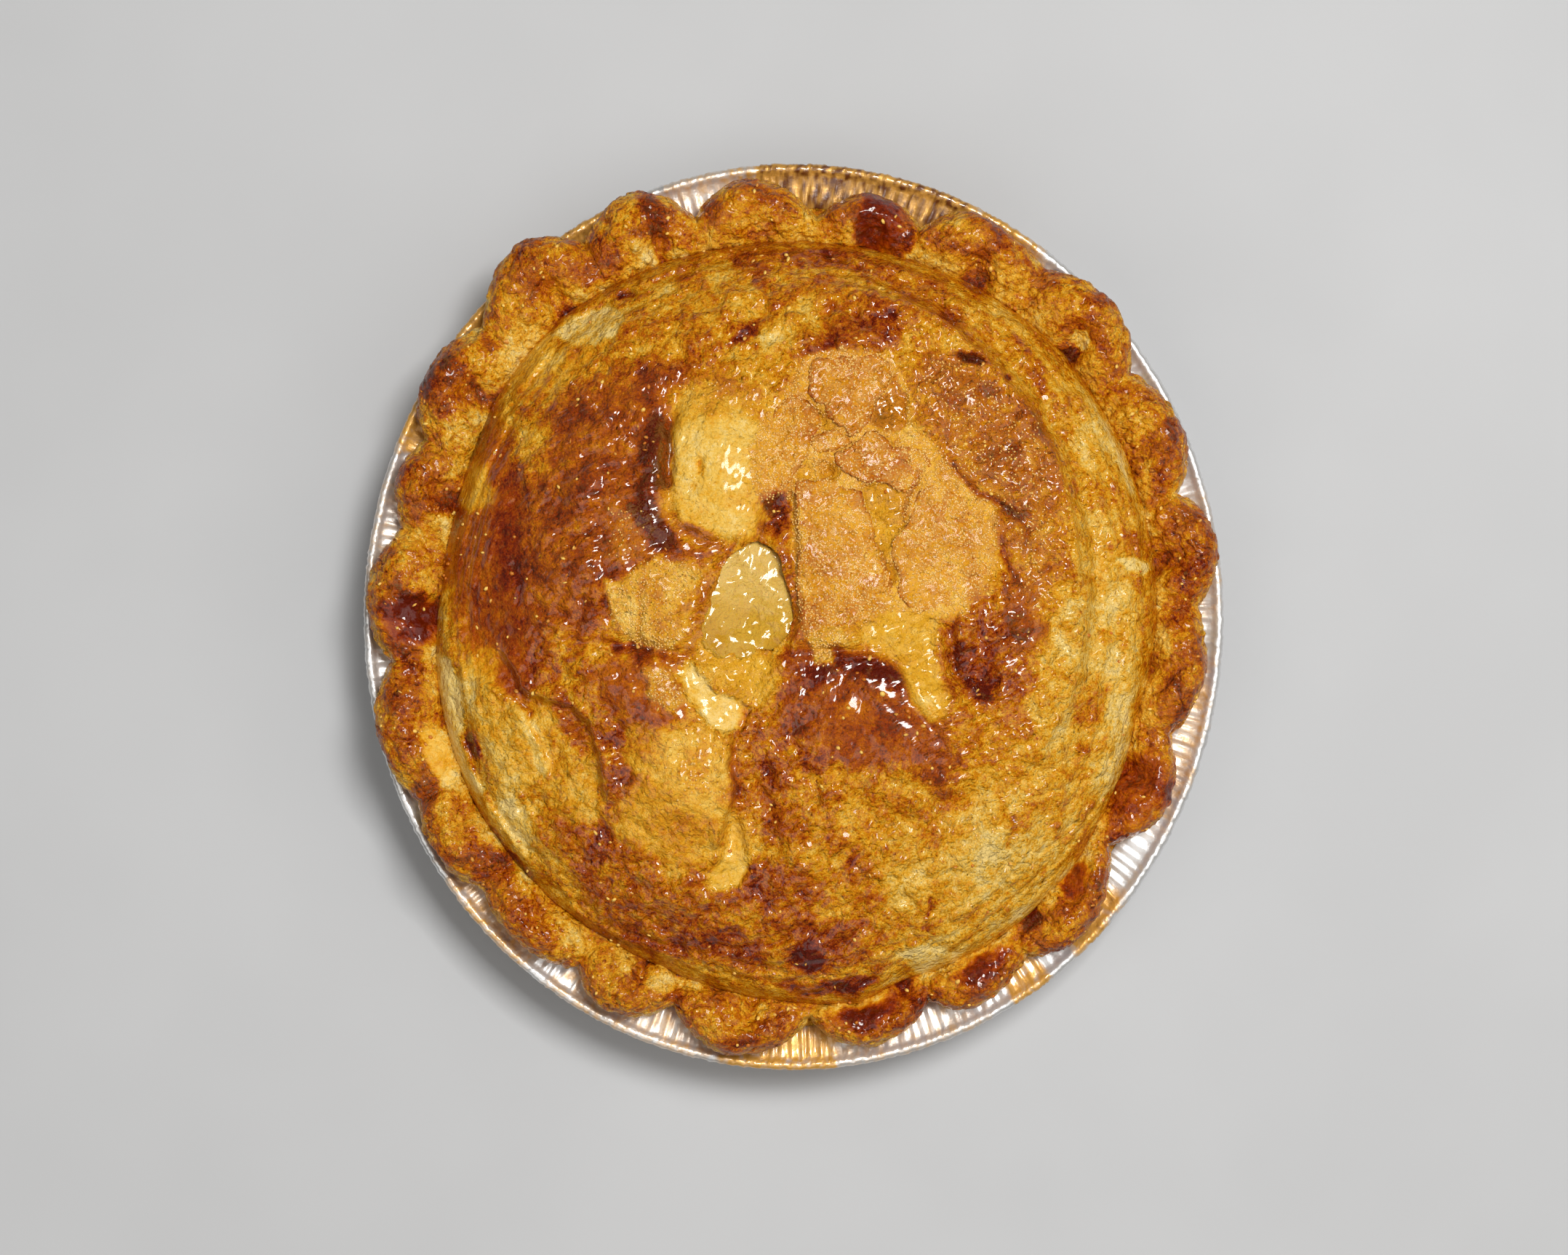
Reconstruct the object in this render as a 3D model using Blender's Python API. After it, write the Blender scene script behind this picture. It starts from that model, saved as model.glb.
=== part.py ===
"""A baked double-crust apple pie in its own foil tin.

The origin is on the table under the tin's middle, +Z is up and +Y is the side of
the pie that is furthest from a cook who looks down on it. All sizes are in metres.
The tin was squeezed a little oval, so every shape is worked out round, as a radius
and an angle, and place() then moves its points to the oval.
"""

import math

import bmesh
import bpy
from mathutils import Matrix, Vector

# ---- Driving sizes -----------------------------------------------------------------

RIM_WIDTH = 0.224  # over the rolled rim, along X
RIM_LENGTH = 0.236  # over the rolled rim, along Y
RIM_RADIUS = (RIM_WIDTH + RIM_LENGTH) / 4  # of the rim while it was still round
GAP = 0.0003  # between two pieces that lie against each other

# The foil tin, from its raised middle panel out to the rolled rim.
FOIL = 0.0004
PANEL_RADIUS = 0.0640
PANEL_HEIGHT = 0.0012
PANEL_STEP = 0.0020
BASE_RADIUS = 0.0850
CORNER_INSET = 0.0025  # from the wall's foot in to where the base is flat
CORNER_REACH = 0.0010  # from the wall's foot out to where the wall is straight
CORNER_RISE = 0.0019
WALL_TOP_RADIUS = 0.1035
WALL_TOP_HEIGHT = 0.0275
BEAD_RADIUS = 0.0013  # of the rolled edge's own round section
BEAD_CENTRE_RADIUS = RIM_RADIUS - BEAD_RADIUS
BEAD_CENTRE_HEIGHT = 0.0290
BEAD_START = 210.0  # degrees round its section, from the outside, where the roll starts
BEAD_TURN = 300.0
BEAD_POINTS = 7
TIN_SEGMENTS = 60

# The lower crust: a pastry case that lines the tin, with its edge crimped on the rim.
CASE_REST = 0.0008  # height of the case above the foil that it rests on
CASE_UNDERSIDE = PANEL_HEIGHT + FOIL + GAP
CASE_FLOOR = CASE_UNDERSIDE + 0.0045
CASE_FLOOR_RADIUS = 0.0800
CASE_COVE = 0.0040  # rounding between the case's floor and its wall
SEAM_RADIUS = 0.0966  # where the crimped edge meets the lid
SEAM_HEIGHT = 0.0365
CAVITY_TOP_HEIGHT = 0.0290
RIDGE_HEIGHT = 0.0435
RIDGE_DIP = 0.0030  # the crimp's ridge is this much lower in a notch
CRIMP_ROUNDNESS = 1.9  # 1 would make the crimps pointed, and more makes them blunter
CRIMP_SLANT = 4.0  # degrees by which a crease turns on its way in from its notch
CRIMP_FOOT = 0.0024  # from a crimp's outermost point in to where it meets the foil
CRIMP_BELLY = 0.0034  # from where it meets the foil up to its outermost point
CASE_SEGMENTS = 126

# The crimp's rounded top, from its outer side in to the seam: how far out it is, as a
# share of the crimp's width, and how far below the ridge.
CRIMP_TOP = ((0.88, 0.0022), (0.60, 0.0), (0.25, 0.0018))

# One row for each crimp, anticlockwise from the right-hand side: the angle in degrees
# and the reach of its tip, then the same for the notch that follows it.
CRIMPS = (
    (9.0, 0.1139, 17.0, 0.1068),
    (25.0, 0.1136, 34.5, 0.1087),
    (43.0, 0.1159, 53.0, 0.1099),
    (63.0, 0.1127, 71.0, 0.1033),
    (78.0, 0.1087, 86.5, 0.1005),
    (97.0, 0.1110, 104.5, 0.1036),
    (113.0, 0.1152, 120.5, 0.1085),
    (128.0, 0.1186, 138.5, 0.1101),
    (147.0, 0.1153, 155.5, 0.1078),
    (161.0, 0.1110, 168.0, 0.1064),
    (177.5, 0.1133, 186.0, 0.1076),
    (195.0, 0.1141, 205.0, 0.1099),
    (212.0, 0.1121, 219.5, 0.1076),
    (228.0, 0.1099, 237.0, 0.1051),
    (243.0, 0.1107, 252.0, 0.1028),
    (261.0, 0.1116, 272.5, 0.1013),
    (281.0, 0.1100, 290.5, 0.1033),
    (297.0, 0.1093, 306.0, 0.1059),
    (314.0, 0.1110, 325.5, 0.1013),
    (334.5, 0.1100, 343.5, 0.1047),
    (353.0, 0.1102, 361.5, 0.1074),
)

# The lid: a high dome of pastry, pushed up and down by the apple pieces under it.
LID_RADIUS = SEAM_RADIUS - GAP
LID_EDGE_HEIGHT = 0.0360
LID_EDGE_FOOT = 0.0310
LID_THICKNESS = 0.0042
DOME_HEIGHT = 0.0305  # of the crown above the lid's edge
DOME_FULLNESS = 2.8
DOME_SHOULDER = 1.55
CALM_EDGE = 0.14  # share of the lid, next to its edge, where bumps and hollows die out
LID_SEGMENTS = 60
LID_UNDER_RINGS = (0.20, 0.40, 0.58, 0.74, 0.86, 0.95)  # shares of its radius
LID_TOP_RINGS = (0.96, 0.90, 0.82, 0.73, 0.62, 0.50, 0.38, 0.25, 0.12)

# Each row is one bump or hollow: its middle, its half sizes, its turn in degrees and
# its height.
BULGES = {
    "browned crown": (-0.050, 0.022, 0.030, 0.038, 0.0, 0.0030),
    "pale bubble": (-0.019, 0.038, 0.011, 0.020, 15.0, 0.0022),
    "valley at the vent": (-0.011, 0.004, 0.010, 0.019, -8.0, -0.0030),
    "valley below the vent": (-0.009, -0.042, 0.007, 0.026, 4.0, -0.0030),
    "front left lobe": (-0.031, -0.034, 0.015, 0.020, 0.0, 0.0030),
    "front left hollow": (-0.058, -0.034, 0.009, 0.020, -30.0, -0.0022),
    "front right swell": (0.022, -0.030, 0.022, 0.020, 0.0, 0.0034),
    "wet hollow": (0.037, -0.009, 0.011, 0.010, 0.0, -0.0028),
    "broken plateau": (0.028, 0.028, 0.024, 0.026, 0.0, -0.0020),
    "back hump": (0.004, 0.074, 0.040, 0.014, 0.0, 0.0018),
}

# The shoulder on the right, where the crown breaks off towards the edge.
SHOULDER_MIDDLE = 30.0  # degrees
SHOULDER_SPREAD = 52.0  # degrees to either side
SHOULDER_ENDS = 25.0  # degrees over which it dies out at each end
SHOULDER_RADIUS = 0.0790
SHOULDER_SLEW = 0.00012  # it lies this much further out for each degree anticlockwise
SHOULDER_HEIGHT = 0.0028
SHOULDER_DROP = 0.0045
SHOULDER_BACK = 0.0160  # how far the shoulder takes to rise from the crown
SHOULDER_FALL = 0.0040  # how far it takes to drop on its outer side
SHOULDER_FLANK = 0.0120  # how far outside it the flank is back in the dome's line

# The openings in the lid: middle, half width, half length, turn in degrees and how
# much narrower the far end is than the near end.
VENTS = {
    "steam_vent": (-0.0115, 0.0045, 0.0092, 0.0145, -12.0, 0.35),
    "flake_gap": (0.0250, 0.0510, 0.0026, 0.0075, -12.0, 0.10),
    "plateau_gap": (0.0245, 0.0265, 0.0030, 0.0060, 20.0, 0.20),
}
VENT_POINTS = 20
VENT_DEPTH = 0.0030  # of the filling below the lid's top
PLUG_SHARE = 0.88  # of the vent's width that the filling takes up

# The apple filling, which fills the case up to the lid and shows in the openings.
FILLING_CLEARANCE = 0.0009
FILLING_SHELF_HEIGHT = LID_EDGE_FOOT - 2 * FILLING_CLEARANCE

COLOURS = {
    "foil_tin": ((0.72, 0.73, 0.74), 0.28, 1.0),
    "bottom_crust": ((0.56, 0.27, 0.06), 0.50, 0.0),
    "top_crust": ((0.62, 0.32, 0.07), 0.42, 0.0),
    "apple_filling": ((0.78, 0.58, 0.17), 0.25, 0.0),
}


# ---- Shared shapes -----------------------------------------------------------------


def clear_scene():
    """Removes what a new file starts with."""
    for old in list(bpy.data.objects):
        bpy.data.objects.remove(old, do_unlink=True)


def place(radius, angle, height):
    """A point of the round pie, moved to where the oval tin holds it."""
    x = radius * math.cos(angle) * RIM_WIDTH / (2 * RIM_RADIUS)
    y = radius * math.sin(angle) * RIM_LENGTH / (2 * RIM_RADIUS)
    return Vector((x, y, height))


def round_radius(x, y):
    """The radius that a point of the oval had while the tin was round."""
    round_x = x * 2 * RIM_RADIUS / RIM_WIDTH
    round_y = y * 2 * RIM_RADIUS / RIM_LENGTH
    return math.hypot(round_x, round_y)


def ease(share):
    """Runs smoothly from 0 to 1, and stays there on either side."""
    share = min(1.0, max(0.0, share))
    return share * share * (3 - 2 * share)


def make_object(name, builder):
    """Turns a bmesh into an object with outward faces and smooth shading."""
    bmesh.ops.recalc_face_normals(builder, faces=builder.faces)
    mesh = bpy.data.meshes.new(name)
    builder.to_mesh(mesh)
    builder.free()
    mesh.shade_smooth()
    mesh.set_sharp_from_angle(angle=math.radians(40))
    made = bpy.data.objects.new(name, mesh)
    bpy.context.scene.collection.objects.link(made)
    return made


def make_piece(name, builder):
    """Makes one piece of the pie, with a Principled BSDF in its own colour."""
    made = make_object(name, builder)
    colour, roughness, metallic = COLOURS[name]
    material = bpy.data.materials.new(name)
    material.use_nodes = True
    shader = material.node_tree.nodes["Principled BSDF"]
    shader.inputs["Base Color"].default_value = (*colour, 1.0)
    shader.inputs["Roughness"].default_value = roughness
    shader.inputs["Metallic"].default_value = metallic
    made.data.materials.append(material)
    return made


def level_ring(radius, height):
    """One ring of the oval, all at one height."""
    turns = [2 * math.pi * step / LID_SEGMENTS for step in range(LID_SEGMENTS)]
    return [place(radius, turn, height) for turn in turns]


def draped_ring(radius, height_at):
    """One ring of the oval, whose height changes from point to point."""
    return [Vector((p.x, p.y, height_at(p.x, p.y))) for p in level_ring(radius, 0.0)]


def loft_rings(rings, bottom_middle, top_middle):
    """Joins rings of as many points each into a closed skin between two middles."""
    builder = bmesh.new()
    loops = [[builder.verts.new(point) for point in ring] for ring in rings]
    first = builder.verts.new(bottom_middle)
    last = builder.verts.new(top_middle)
    count = len(rings[0])
    for step in range(count):
        after = (step + 1) % count
        builder.faces.new((first, loops[0][after], loops[0][step]))
        for low, high in zip(loops, loops[1:]):
            builder.faces.new((low[step], low[after], high[after], high[step]))
        builder.faces.new((last, loops[-1][step], loops[-1][after]))
    return builder


# ---- Foil tin ----------------------------------------------------------------------


def wall_angle():
    """The slope of the tin's wall, from the horizontal."""
    rise = WALL_TOP_HEIGHT
    run = WALL_TOP_RADIUS - BASE_RADIUS
    return math.atan2(rise, run)


def tin_profile():
    """The tin's section as (radius, height), out under the base and back inside."""
    sideways = FOIL * math.sin(wall_angle())
    upwards = FOIL * math.cos(wall_angle())
    under = [
        (0.0, PANEL_HEIGHT),
        (PANEL_RADIUS, PANEL_HEIGHT),
        (PANEL_RADIUS + PANEL_STEP, 0.0),
        (BASE_RADIUS - CORNER_INSET, 0.0),
        (BASE_RADIUS + CORNER_REACH, CORNER_RISE),
        (WALL_TOP_RADIUS, WALL_TOP_HEIGHT),
        (BEAD_CENTRE_RADIUS - BEAD_RADIUS, BEAD_CENTRE_HEIGHT - FOIL),
    ]
    bead = []
    for step in range(BEAD_POINTS):
        turn = math.radians(BEAD_START + BEAD_TURN * step / (BEAD_POINTS - 1))
        radius = BEAD_CENTRE_RADIUS + BEAD_RADIUS * math.cos(turn)
        bead.append((radius, BEAD_CENTRE_HEIGHT + BEAD_RADIUS * math.sin(turn)))
    inside = [
        (WALL_TOP_RADIUS - sideways, WALL_TOP_HEIGHT + FOIL),
        (BASE_RADIUS + CORNER_REACH - sideways, CORNER_RISE + upwards),
        (BASE_RADIUS - CORNER_INSET, FOIL),
        (PANEL_RADIUS + PANEL_STEP, FOIL),
        (PANEL_RADIUS, PANEL_HEIGHT + FOIL),
        (0.0, PANEL_HEIGHT + FOIL),
    ]
    return under + bead + inside


def build_foil_tin():
    """The tin, turned from its section and then squeezed oval."""
    builder = bmesh.new()
    profile = [builder.verts.new((r, 0.0, z)) for r, z in tin_profile()]
    edges = [builder.edges.new(pair) for pair in zip(profile, profile[1:])]
    bmesh.ops.spin(
        builder,
        geom=profile + edges,
        cent=(0, 0, 0),
        axis=(0, 0, 1),
        angle=2 * math.pi,
        steps=TIN_SEGMENTS,
        use_merge=True,
    )
    bmesh.ops.remove_doubles(builder, verts=builder.verts, dist=1e-6)
    oval = (RIM_WIDTH / (2 * RIM_RADIUS), RIM_LENGTH / (2 * RIM_RADIUS), 1, 1)
    bmesh.ops.transform(builder, matrix=Matrix.Diagonal(oval), verts=builder.verts)
    return make_piece("foil_tin", builder)


def foil_height(radius):
    """The height of the foil's upper side, where the pastry can rest on it."""
    sideways = FOIL * math.sin(wall_angle())
    bead_foot = BEAD_CENTRE_RADIUS - 1.2 * BEAD_RADIUS
    bead_top = BEAD_CENTRE_HEIGHT + BEAD_RADIUS
    steps = (
        (BASE_RADIUS - sideways, FOIL),
        (WALL_TOP_RADIUS - sideways, WALL_TOP_HEIGHT + FOIL),
        (bead_foot - 0.4 * BEAD_RADIUS, BEAD_CENTRE_HEIGHT + FOIL),
        (bead_foot, bead_top),
    )
    for (inner, low), (outer, high) in zip(steps, steps[1:]):
        if radius <= outer:
            return low + (high - low) * (radius - inner) / (outer - inner)
    return bead_top


# ---- Lower crust with its crimped edge -----------------------------------------------


def crimp_at(angle):
    """The edge's reach at an angle, and 1 at a crimp's tip to 0 in a notch."""
    degrees = math.degrees(angle) % 360
    marks = []
    for tip, tip_reach, notch, notch_reach in CRIMPS:
        marks += [(tip, tip_reach, 1.0), (notch, notch_reach, 0.0)]
    before = (marks[-1][0] - 360, *marks[-1][1:])
    after = (marks[0][0] + 360, *marks[0][1:])
    marks = [before, *marks, after]
    for (start, reach_a, tip_a), (end, reach_b, tip_b) in zip(marks, marks[1:]):
        if start <= degrees <= end:
            share = (degrees - start) / (end - start)
            share = share**CRIMP_ROUNDNESS if tip_a else 1 - (1 - share) ** CRIMP_ROUNDNESS
            return reach_a + (reach_b - reach_a) * share, tip_a + (tip_b - tip_a) * share
    return marks[-1][1:]


def case_section(angle):
    """The case's section at an angle: under the floor, round the crimp, and inside."""
    reach, tip = crimp_at(angle)
    ridge = RIDGE_HEIGHT - RIDGE_DIP * (1 - tip)
    bend = WALL_TOP_RADIUS - 2 * FOIL
    foot = max(reach - CRIMP_FOOT, WALL_TOP_RADIUS + FOIL)
    middle = (bend + foot) / 2
    middle_height = max(foil_height(middle), foil_height(foot) - GAP)
    foot_height = foil_height(foot) + CASE_REST
    under = [
        (CASE_FLOOR_RADIUS / 2, CASE_UNDERSIDE),
        (BASE_RADIUS - CORNER_INSET - GAP, CASE_UNDERSIDE),
        (bend, foil_height(bend) + CASE_REST),
        (middle, middle_height + CASE_REST),
        (foot, foot_height),
        (reach, foot_height + CRIMP_BELLY),
    ]
    width = reach - SEAM_RADIUS
    top = [(SEAM_RADIUS + share * width, ridge - drop) for share, drop in CRIMP_TOP]
    inside = [
        (SEAM_RADIUS, SEAM_HEIGHT),
        (SEAM_RADIUS, CAVITY_TOP_HEIGHT),
        (CASE_FLOOR_RADIUS, CASE_FLOOR + CASE_COVE),
        (CASE_FLOOR_RADIUS - CASE_COVE, CASE_FLOOR),
    ]
    return under + top + inside


def crimp_slant(reach, radius, height):
    """The angle by which a crease has turned, from 0 at the tin to the most at the seam."""
    inward = ease((reach - radius) / (reach - SEAM_RADIUS))
    raised = ease((height - BEAD_CENTRE_HEIGHT) / (RIDGE_HEIGHT - BEAD_CENTRE_HEIGHT))
    return math.radians(CRIMP_SLANT) * inward * raised


def build_bottom_crust():
    """The pastry case, lofted from its section at each angle."""
    sections = []
    for step in range(CASE_SEGMENTS):
        angle = 2 * math.pi * step / CASE_SEGMENTS
        reach = crimp_at(angle)[0]
        section = []
        for radius, height in case_section(angle):
            turned = angle + crimp_slant(reach, radius, height)
            section.append(place(radius, turned, height))
        sections.append(section)
    rings = list(zip(*sections))
    builder = loft_rings(rings, Vector((0, 0, CASE_UNDERSIDE)), Vector((0, 0, CASE_FLOOR)))
    return make_piece("bottom_crust", builder)


# ---- Lid -----------------------------------------------------------------------------


def bulge_height(x, y, bulge):
    """How much one bump or hollow lifts the lid at a point."""
    middle_x, middle_y, half_x, half_y, turn, height = bulge
    cosine = math.cos(math.radians(turn))
    sine = math.sin(math.radians(turn))
    along = ((x - middle_x) * cosine + (y - middle_y) * sine) / half_x
    across = ((y - middle_y) * cosine - (x - middle_x) * sine) / half_y
    return height * math.exp(-(along * along + across * across))


def shoulder_lift(x, y):
    """The crown's raised outer edge on the right, which drops to the flank."""
    degrees = math.degrees(math.atan2(y / RIM_LENGTH, x / RIM_WIDTH))
    away = (degrees - SHOULDER_MIDDLE + 180) % 360 - 180
    strength = ease((SHOULDER_SPREAD - abs(away)) / SHOULDER_ENDS + 0.5)
    edge = SHOULDER_RADIUS + SHOULDER_SLEW * away
    radius = round_radius(x, y)
    rise = ease((radius - edge + SHOULDER_BACK) / SHOULDER_BACK)
    fall = ease((radius - edge) / SHOULDER_FALL)
    flank = ease((LID_RADIUS - radius) / SHOULDER_FLANK)
    return strength * (SHOULDER_HEIGHT * rise - SHOULDER_DROP * fall * flank)


def lid_height(x, y):
    """The height of the lid's top at a point of the pie."""
    share = min(1.0, round_radius(x, y) / LID_RADIUS)
    dome = (1 - share**DOME_FULLNESS) ** (1 / DOME_SHOULDER)
    bulges = sum(bulge_height(x, y, bulge) for bulge in BULGES.values())
    lift = (bulges + shoulder_lift(x, y)) * ease((1 - share) / CALM_EDGE)
    return LID_EDGE_HEIGHT + DOME_HEIGHT * dome + lift


def lid_underside(x, y):
    """The height of the lid's underside at a point of the pie."""
    return lid_height(x, y) - LID_THICKNESS


def vent_outline(vent, share):
    """The points round an opening in the lid, or round that share of it."""
    middle_x, middle_y, half_width, half_length, turn, taper = vent
    cosine = math.cos(math.radians(turn))
    sine = math.sin(math.radians(turn))
    points = []
    for step in range(VENT_POINTS):
        angle = 2 * math.pi * step / VENT_POINTS
        along = half_length * math.sin(angle) * share
        across = half_width * math.cos(angle) * share * (1 - taper * math.sin(angle))
        x = middle_x + across * cosine - along * sine
        y = middle_y + across * sine + along * cosine
        points.append((x, y))
    return points


def vent_prism(name, vent, share, low, high):
    """An upright prism on an opening's outline, from one height to another."""
    builder = bmesh.new()
    outline = vent_outline(vent, share)
    base = builder.faces.new([builder.verts.new((x, y, low)) for x, y in outline])
    raised = bmesh.ops.extrude_face_region(builder, geom=[base])
    top = [item for item in raised["geom"] if isinstance(item, bmesh.types.BMVert)]
    bmesh.ops.translate(builder, vec=(0, 0, high - low), verts=top)
    made = make_object(name, builder)
    made.hide_render = True
    made.display_type = "WIRE"
    return made


def boolean(target, tool, operation):
    """Cuts a tool from a piece, or joins it to the piece."""
    change = target.modifiers.new(tool.name, "BOOLEAN")
    change.operation = operation
    change.object = tool


def build_top_crust():
    """The domed lid, with the openings that steam and a knife left in it."""
    rings = [draped_ring(share * LID_RADIUS, lid_underside) for share in LID_UNDER_RINGS]
    rings.append(level_ring(LID_RADIUS, LID_EDGE_FOOT))
    rings.append(level_ring(LID_RADIUS, LID_EDGE_HEIGHT))
    rings += [draped_ring(share * LID_RADIUS, lid_height) for share in LID_TOP_RINGS]
    under_middle = Vector((0, 0, lid_underside(0, 0)))
    top_middle = Vector((0, 0, lid_height(0, 0)))
    lid = make_piece("top_crust", loft_rings(rings, under_middle, top_middle))
    for name, vent in VENTS.items():
        low = lid_height(vent[0], vent[1]) - 4 * LID_THICKNESS
        high = lid_height(vent[0], vent[1]) + 4 * LID_THICKNESS
        boolean(lid, vent_prism(name + "_cutter", vent, 1.0, low, high), "DIFFERENCE")
    return lid


# ---- Filling ---------------------------------------------------------------------------


def filling_top_ring(share):
    """A ring of the lid's underside, drawn in and lowered to stand clear of it."""
    points = []
    for point in draped_ring(share * LID_RADIUS, lid_underside):
        inward = Vector((point.x, point.y, 0)).normalized() * FILLING_CLEARANCE
        points.append(point - inward - Vector((0, 0, FILLING_CLEARANCE)))
    return points


def build_apple_filling():
    """The filling, which stands up a little into each opening of the lid."""
    floor = CASE_FLOOR + GAP
    shelf = SEAM_RADIUS - FILLING_CLEARANCE
    cavity_rise = CAVITY_TOP_HEIGHT - CASE_FLOOR - CASE_COVE
    lean = cavity_rise / (SEAM_RADIUS - CASE_FLOOR_RADIUS)
    wall_top = CASE_FLOOR + CASE_COVE + lean * (shelf - CASE_FLOOR_RADIUS + FILLING_CLEARANCE)
    rings = [
        level_ring(CASE_FLOOR_RADIUS - CASE_COVE - GAP, floor),
        level_ring(CASE_FLOOR_RADIUS - FILLING_CLEARANCE, CASE_FLOOR + CASE_COVE),
        level_ring(shelf, wall_top),
        level_ring(shelf, FILLING_SHELF_HEIGHT),
    ]
    rings += [filling_top_ring(share) for share in reversed(LID_UNDER_RINGS)]
    top_middle = Vector((0, 0, lid_underside(0, 0) - FILLING_CLEARANCE))
    filling = make_piece("apple_filling", loft_rings(rings, Vector((0, 0, floor)), top_middle))
    for name, vent in VENTS.items():
        high = lid_height(vent[0], vent[1]) - VENT_DEPTH
        low = high - 3 * LID_THICKNESS
        boolean(filling, vent_prism(name + "_plug", vent, PLUG_SHARE, low, high), "UNION")
    return filling


def main():
    """Builds the tin and what is in it, from the outside in."""
    clear_scene()
    build_foil_tin()
    build_bottom_crust()
    build_apple_filling()
    build_top_crust()


main()
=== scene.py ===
"""Looks of a whole baked apple pie in its own round foil tin.

Lengths are in metres, and in millimetres where a table says so. +Z is up and +Y is the
far side of the pie. The tin was squeezed a little oval, so shapes are worked out round,
as a radius and an angle, and are squeezed to the oval at the end.
"""

import math

import bpy
import numpy as np
from mathutils import Matrix, Vector


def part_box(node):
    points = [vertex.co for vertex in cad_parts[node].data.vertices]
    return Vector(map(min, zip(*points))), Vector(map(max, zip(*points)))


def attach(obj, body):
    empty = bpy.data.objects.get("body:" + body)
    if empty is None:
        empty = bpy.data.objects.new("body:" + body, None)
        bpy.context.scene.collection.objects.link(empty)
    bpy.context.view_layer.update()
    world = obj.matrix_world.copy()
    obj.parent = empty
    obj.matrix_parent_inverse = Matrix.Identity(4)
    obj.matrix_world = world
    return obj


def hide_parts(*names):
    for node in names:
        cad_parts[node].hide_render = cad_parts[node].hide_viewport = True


bl_info = {
    "name": "Apple Pie",
    "version": (1, 0, 0),
    "blender": (4, 5, 0),
    "location": "3D View > Sidebar > Apple Pie",
    "description": "Builds a baked apple pie in its foil tin, and a plain stage for it",
    "category": "Add Mesh",
}

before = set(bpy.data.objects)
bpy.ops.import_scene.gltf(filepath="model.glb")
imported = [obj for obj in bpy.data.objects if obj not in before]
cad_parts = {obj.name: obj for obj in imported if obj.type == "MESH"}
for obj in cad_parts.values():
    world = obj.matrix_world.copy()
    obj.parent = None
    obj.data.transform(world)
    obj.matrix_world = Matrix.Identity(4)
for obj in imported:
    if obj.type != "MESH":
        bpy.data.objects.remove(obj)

MM = 0.001
BODY = "root"
MARKS = ("bake", "sugar", "juice", "smooth")  # what a piece of crust keeps for each point

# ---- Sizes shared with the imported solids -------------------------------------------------

TIN_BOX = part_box("foil_tin")
RIM_WIDTH = TIN_BOX[1].x - TIN_BOX[0].x
RIM_LENGTH = TIN_BOX[1].y - TIN_BOX[0].y
RIM_RADIUS = (RIM_WIDTH + RIM_LENGTH) / 4
OVAL = np.array((RIM_WIDTH, RIM_LENGTH)) / (2 * RIM_RADIUS)

PANEL_RADIUS = 0.0640
PANEL_HEIGHT = 0.0012
BASE_RADIUS = 0.0850
WALL_TOP_RADIUS = 0.1035
WALL_TOP_HEIGHT = 0.0275
BEAD_RADIUS = 0.0013
BEAD_CENTRE_RADIUS = RIM_RADIUS - BEAD_RADIUS
BEAD_CENTRE_HEIGHT = 0.0290

CASE_UNDERSIDE = 0.0019
CASE_FLOOR = 0.0064
CASE_FLOOR_RADIUS = 0.0800
SEAM_RADIUS = 0.0966
CAVITY_TOP_HEIGHT = 0.0290
RIDGE_HEIGHT = 0.0435

LID_RADIUS = 0.0963
LID_EDGE_HEIGHT = 0.0360
LID_THICKNESS = 0.0042
DOME_HEIGHT = 0.0305
DOME_FULLNESS = 2.8
DOME_SHOULDER = 1.55
CALM_EDGE = 0.14
FILLING_CLEARANCE = 0.0009
FLOOR_BEVEL = 4  # the case's floor is bevelled this far up its wall, in millimetres


def paint(red, green, blue):
    """A colour given as a screen shows it, 0 to 255, as the linear colour of a material."""
    shares = [part / 255 for part in (red, green, blue)]
    return tuple(s / 12.92 if s <= 0.04045 else ((s + 0.055) / 1.055) ** 2.4 for s in shares)


# ---- Values that a user would change -----------------------------------------------------


def length(name, description, default):
    """A length in metres."""
    return bpy.props.FloatProperty(
        name=name, description=description, default=default, min=0.0, unit="LENGTH", precision=5
    )


def colour(name, description, red, green, blue):
    """A colour, given as a screen shows it."""
    return bpy.props.FloatVectorProperty(
        name=name,
        description=description,
        default=paint(red, green, blue),
        min=0.0,
        max=1.0,
        size=3,
        subtype="COLOR",
    )


def count(name, description, default):
    """A number of things."""
    return bpy.props.IntProperty(name=name, description=description, default=default, min=0)


def share(name, description, default):
    """A share from 0 to 1."""
    return bpy.props.FloatProperty(
        name=name, description=description, default=default, min=0.0, max=1.0, subtype="FACTOR"
    )


def watts(name, description, default):
    """The power of a light."""
    return bpy.props.FloatProperty(name=name, description=description, default=default, min=0.0)


class TinLook(bpy.types.PropertyGroup):
    """The foil tin."""

    foil: length("Foil", "Thickness of the tin's wall", 0.0004)
    pleats: count("Pleats", "Pleats pressed round the wall", 236)
    pleat_depth: length("Pleat Depth", "How far a pleat stands out", 0.00042)
    crinkle: length("Crinkle", "How far the rolled edge is crinkled", 0.00045)
    segments: count("Segments", "Faces round the tin", 1888)
    metal: colour("Metal", "Clean foil", 228, 228, 228)
    dull_metal: colour("Dull Metal", "Clean foil where it is dull", 186, 184, 182)
    juice: colour("Juice", "Juice baked on thinly", 214, 160, 72)
    burnt_juice: colour("Burnt Juice", "Juice baked on thickly", 96, 48, 12)


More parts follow.
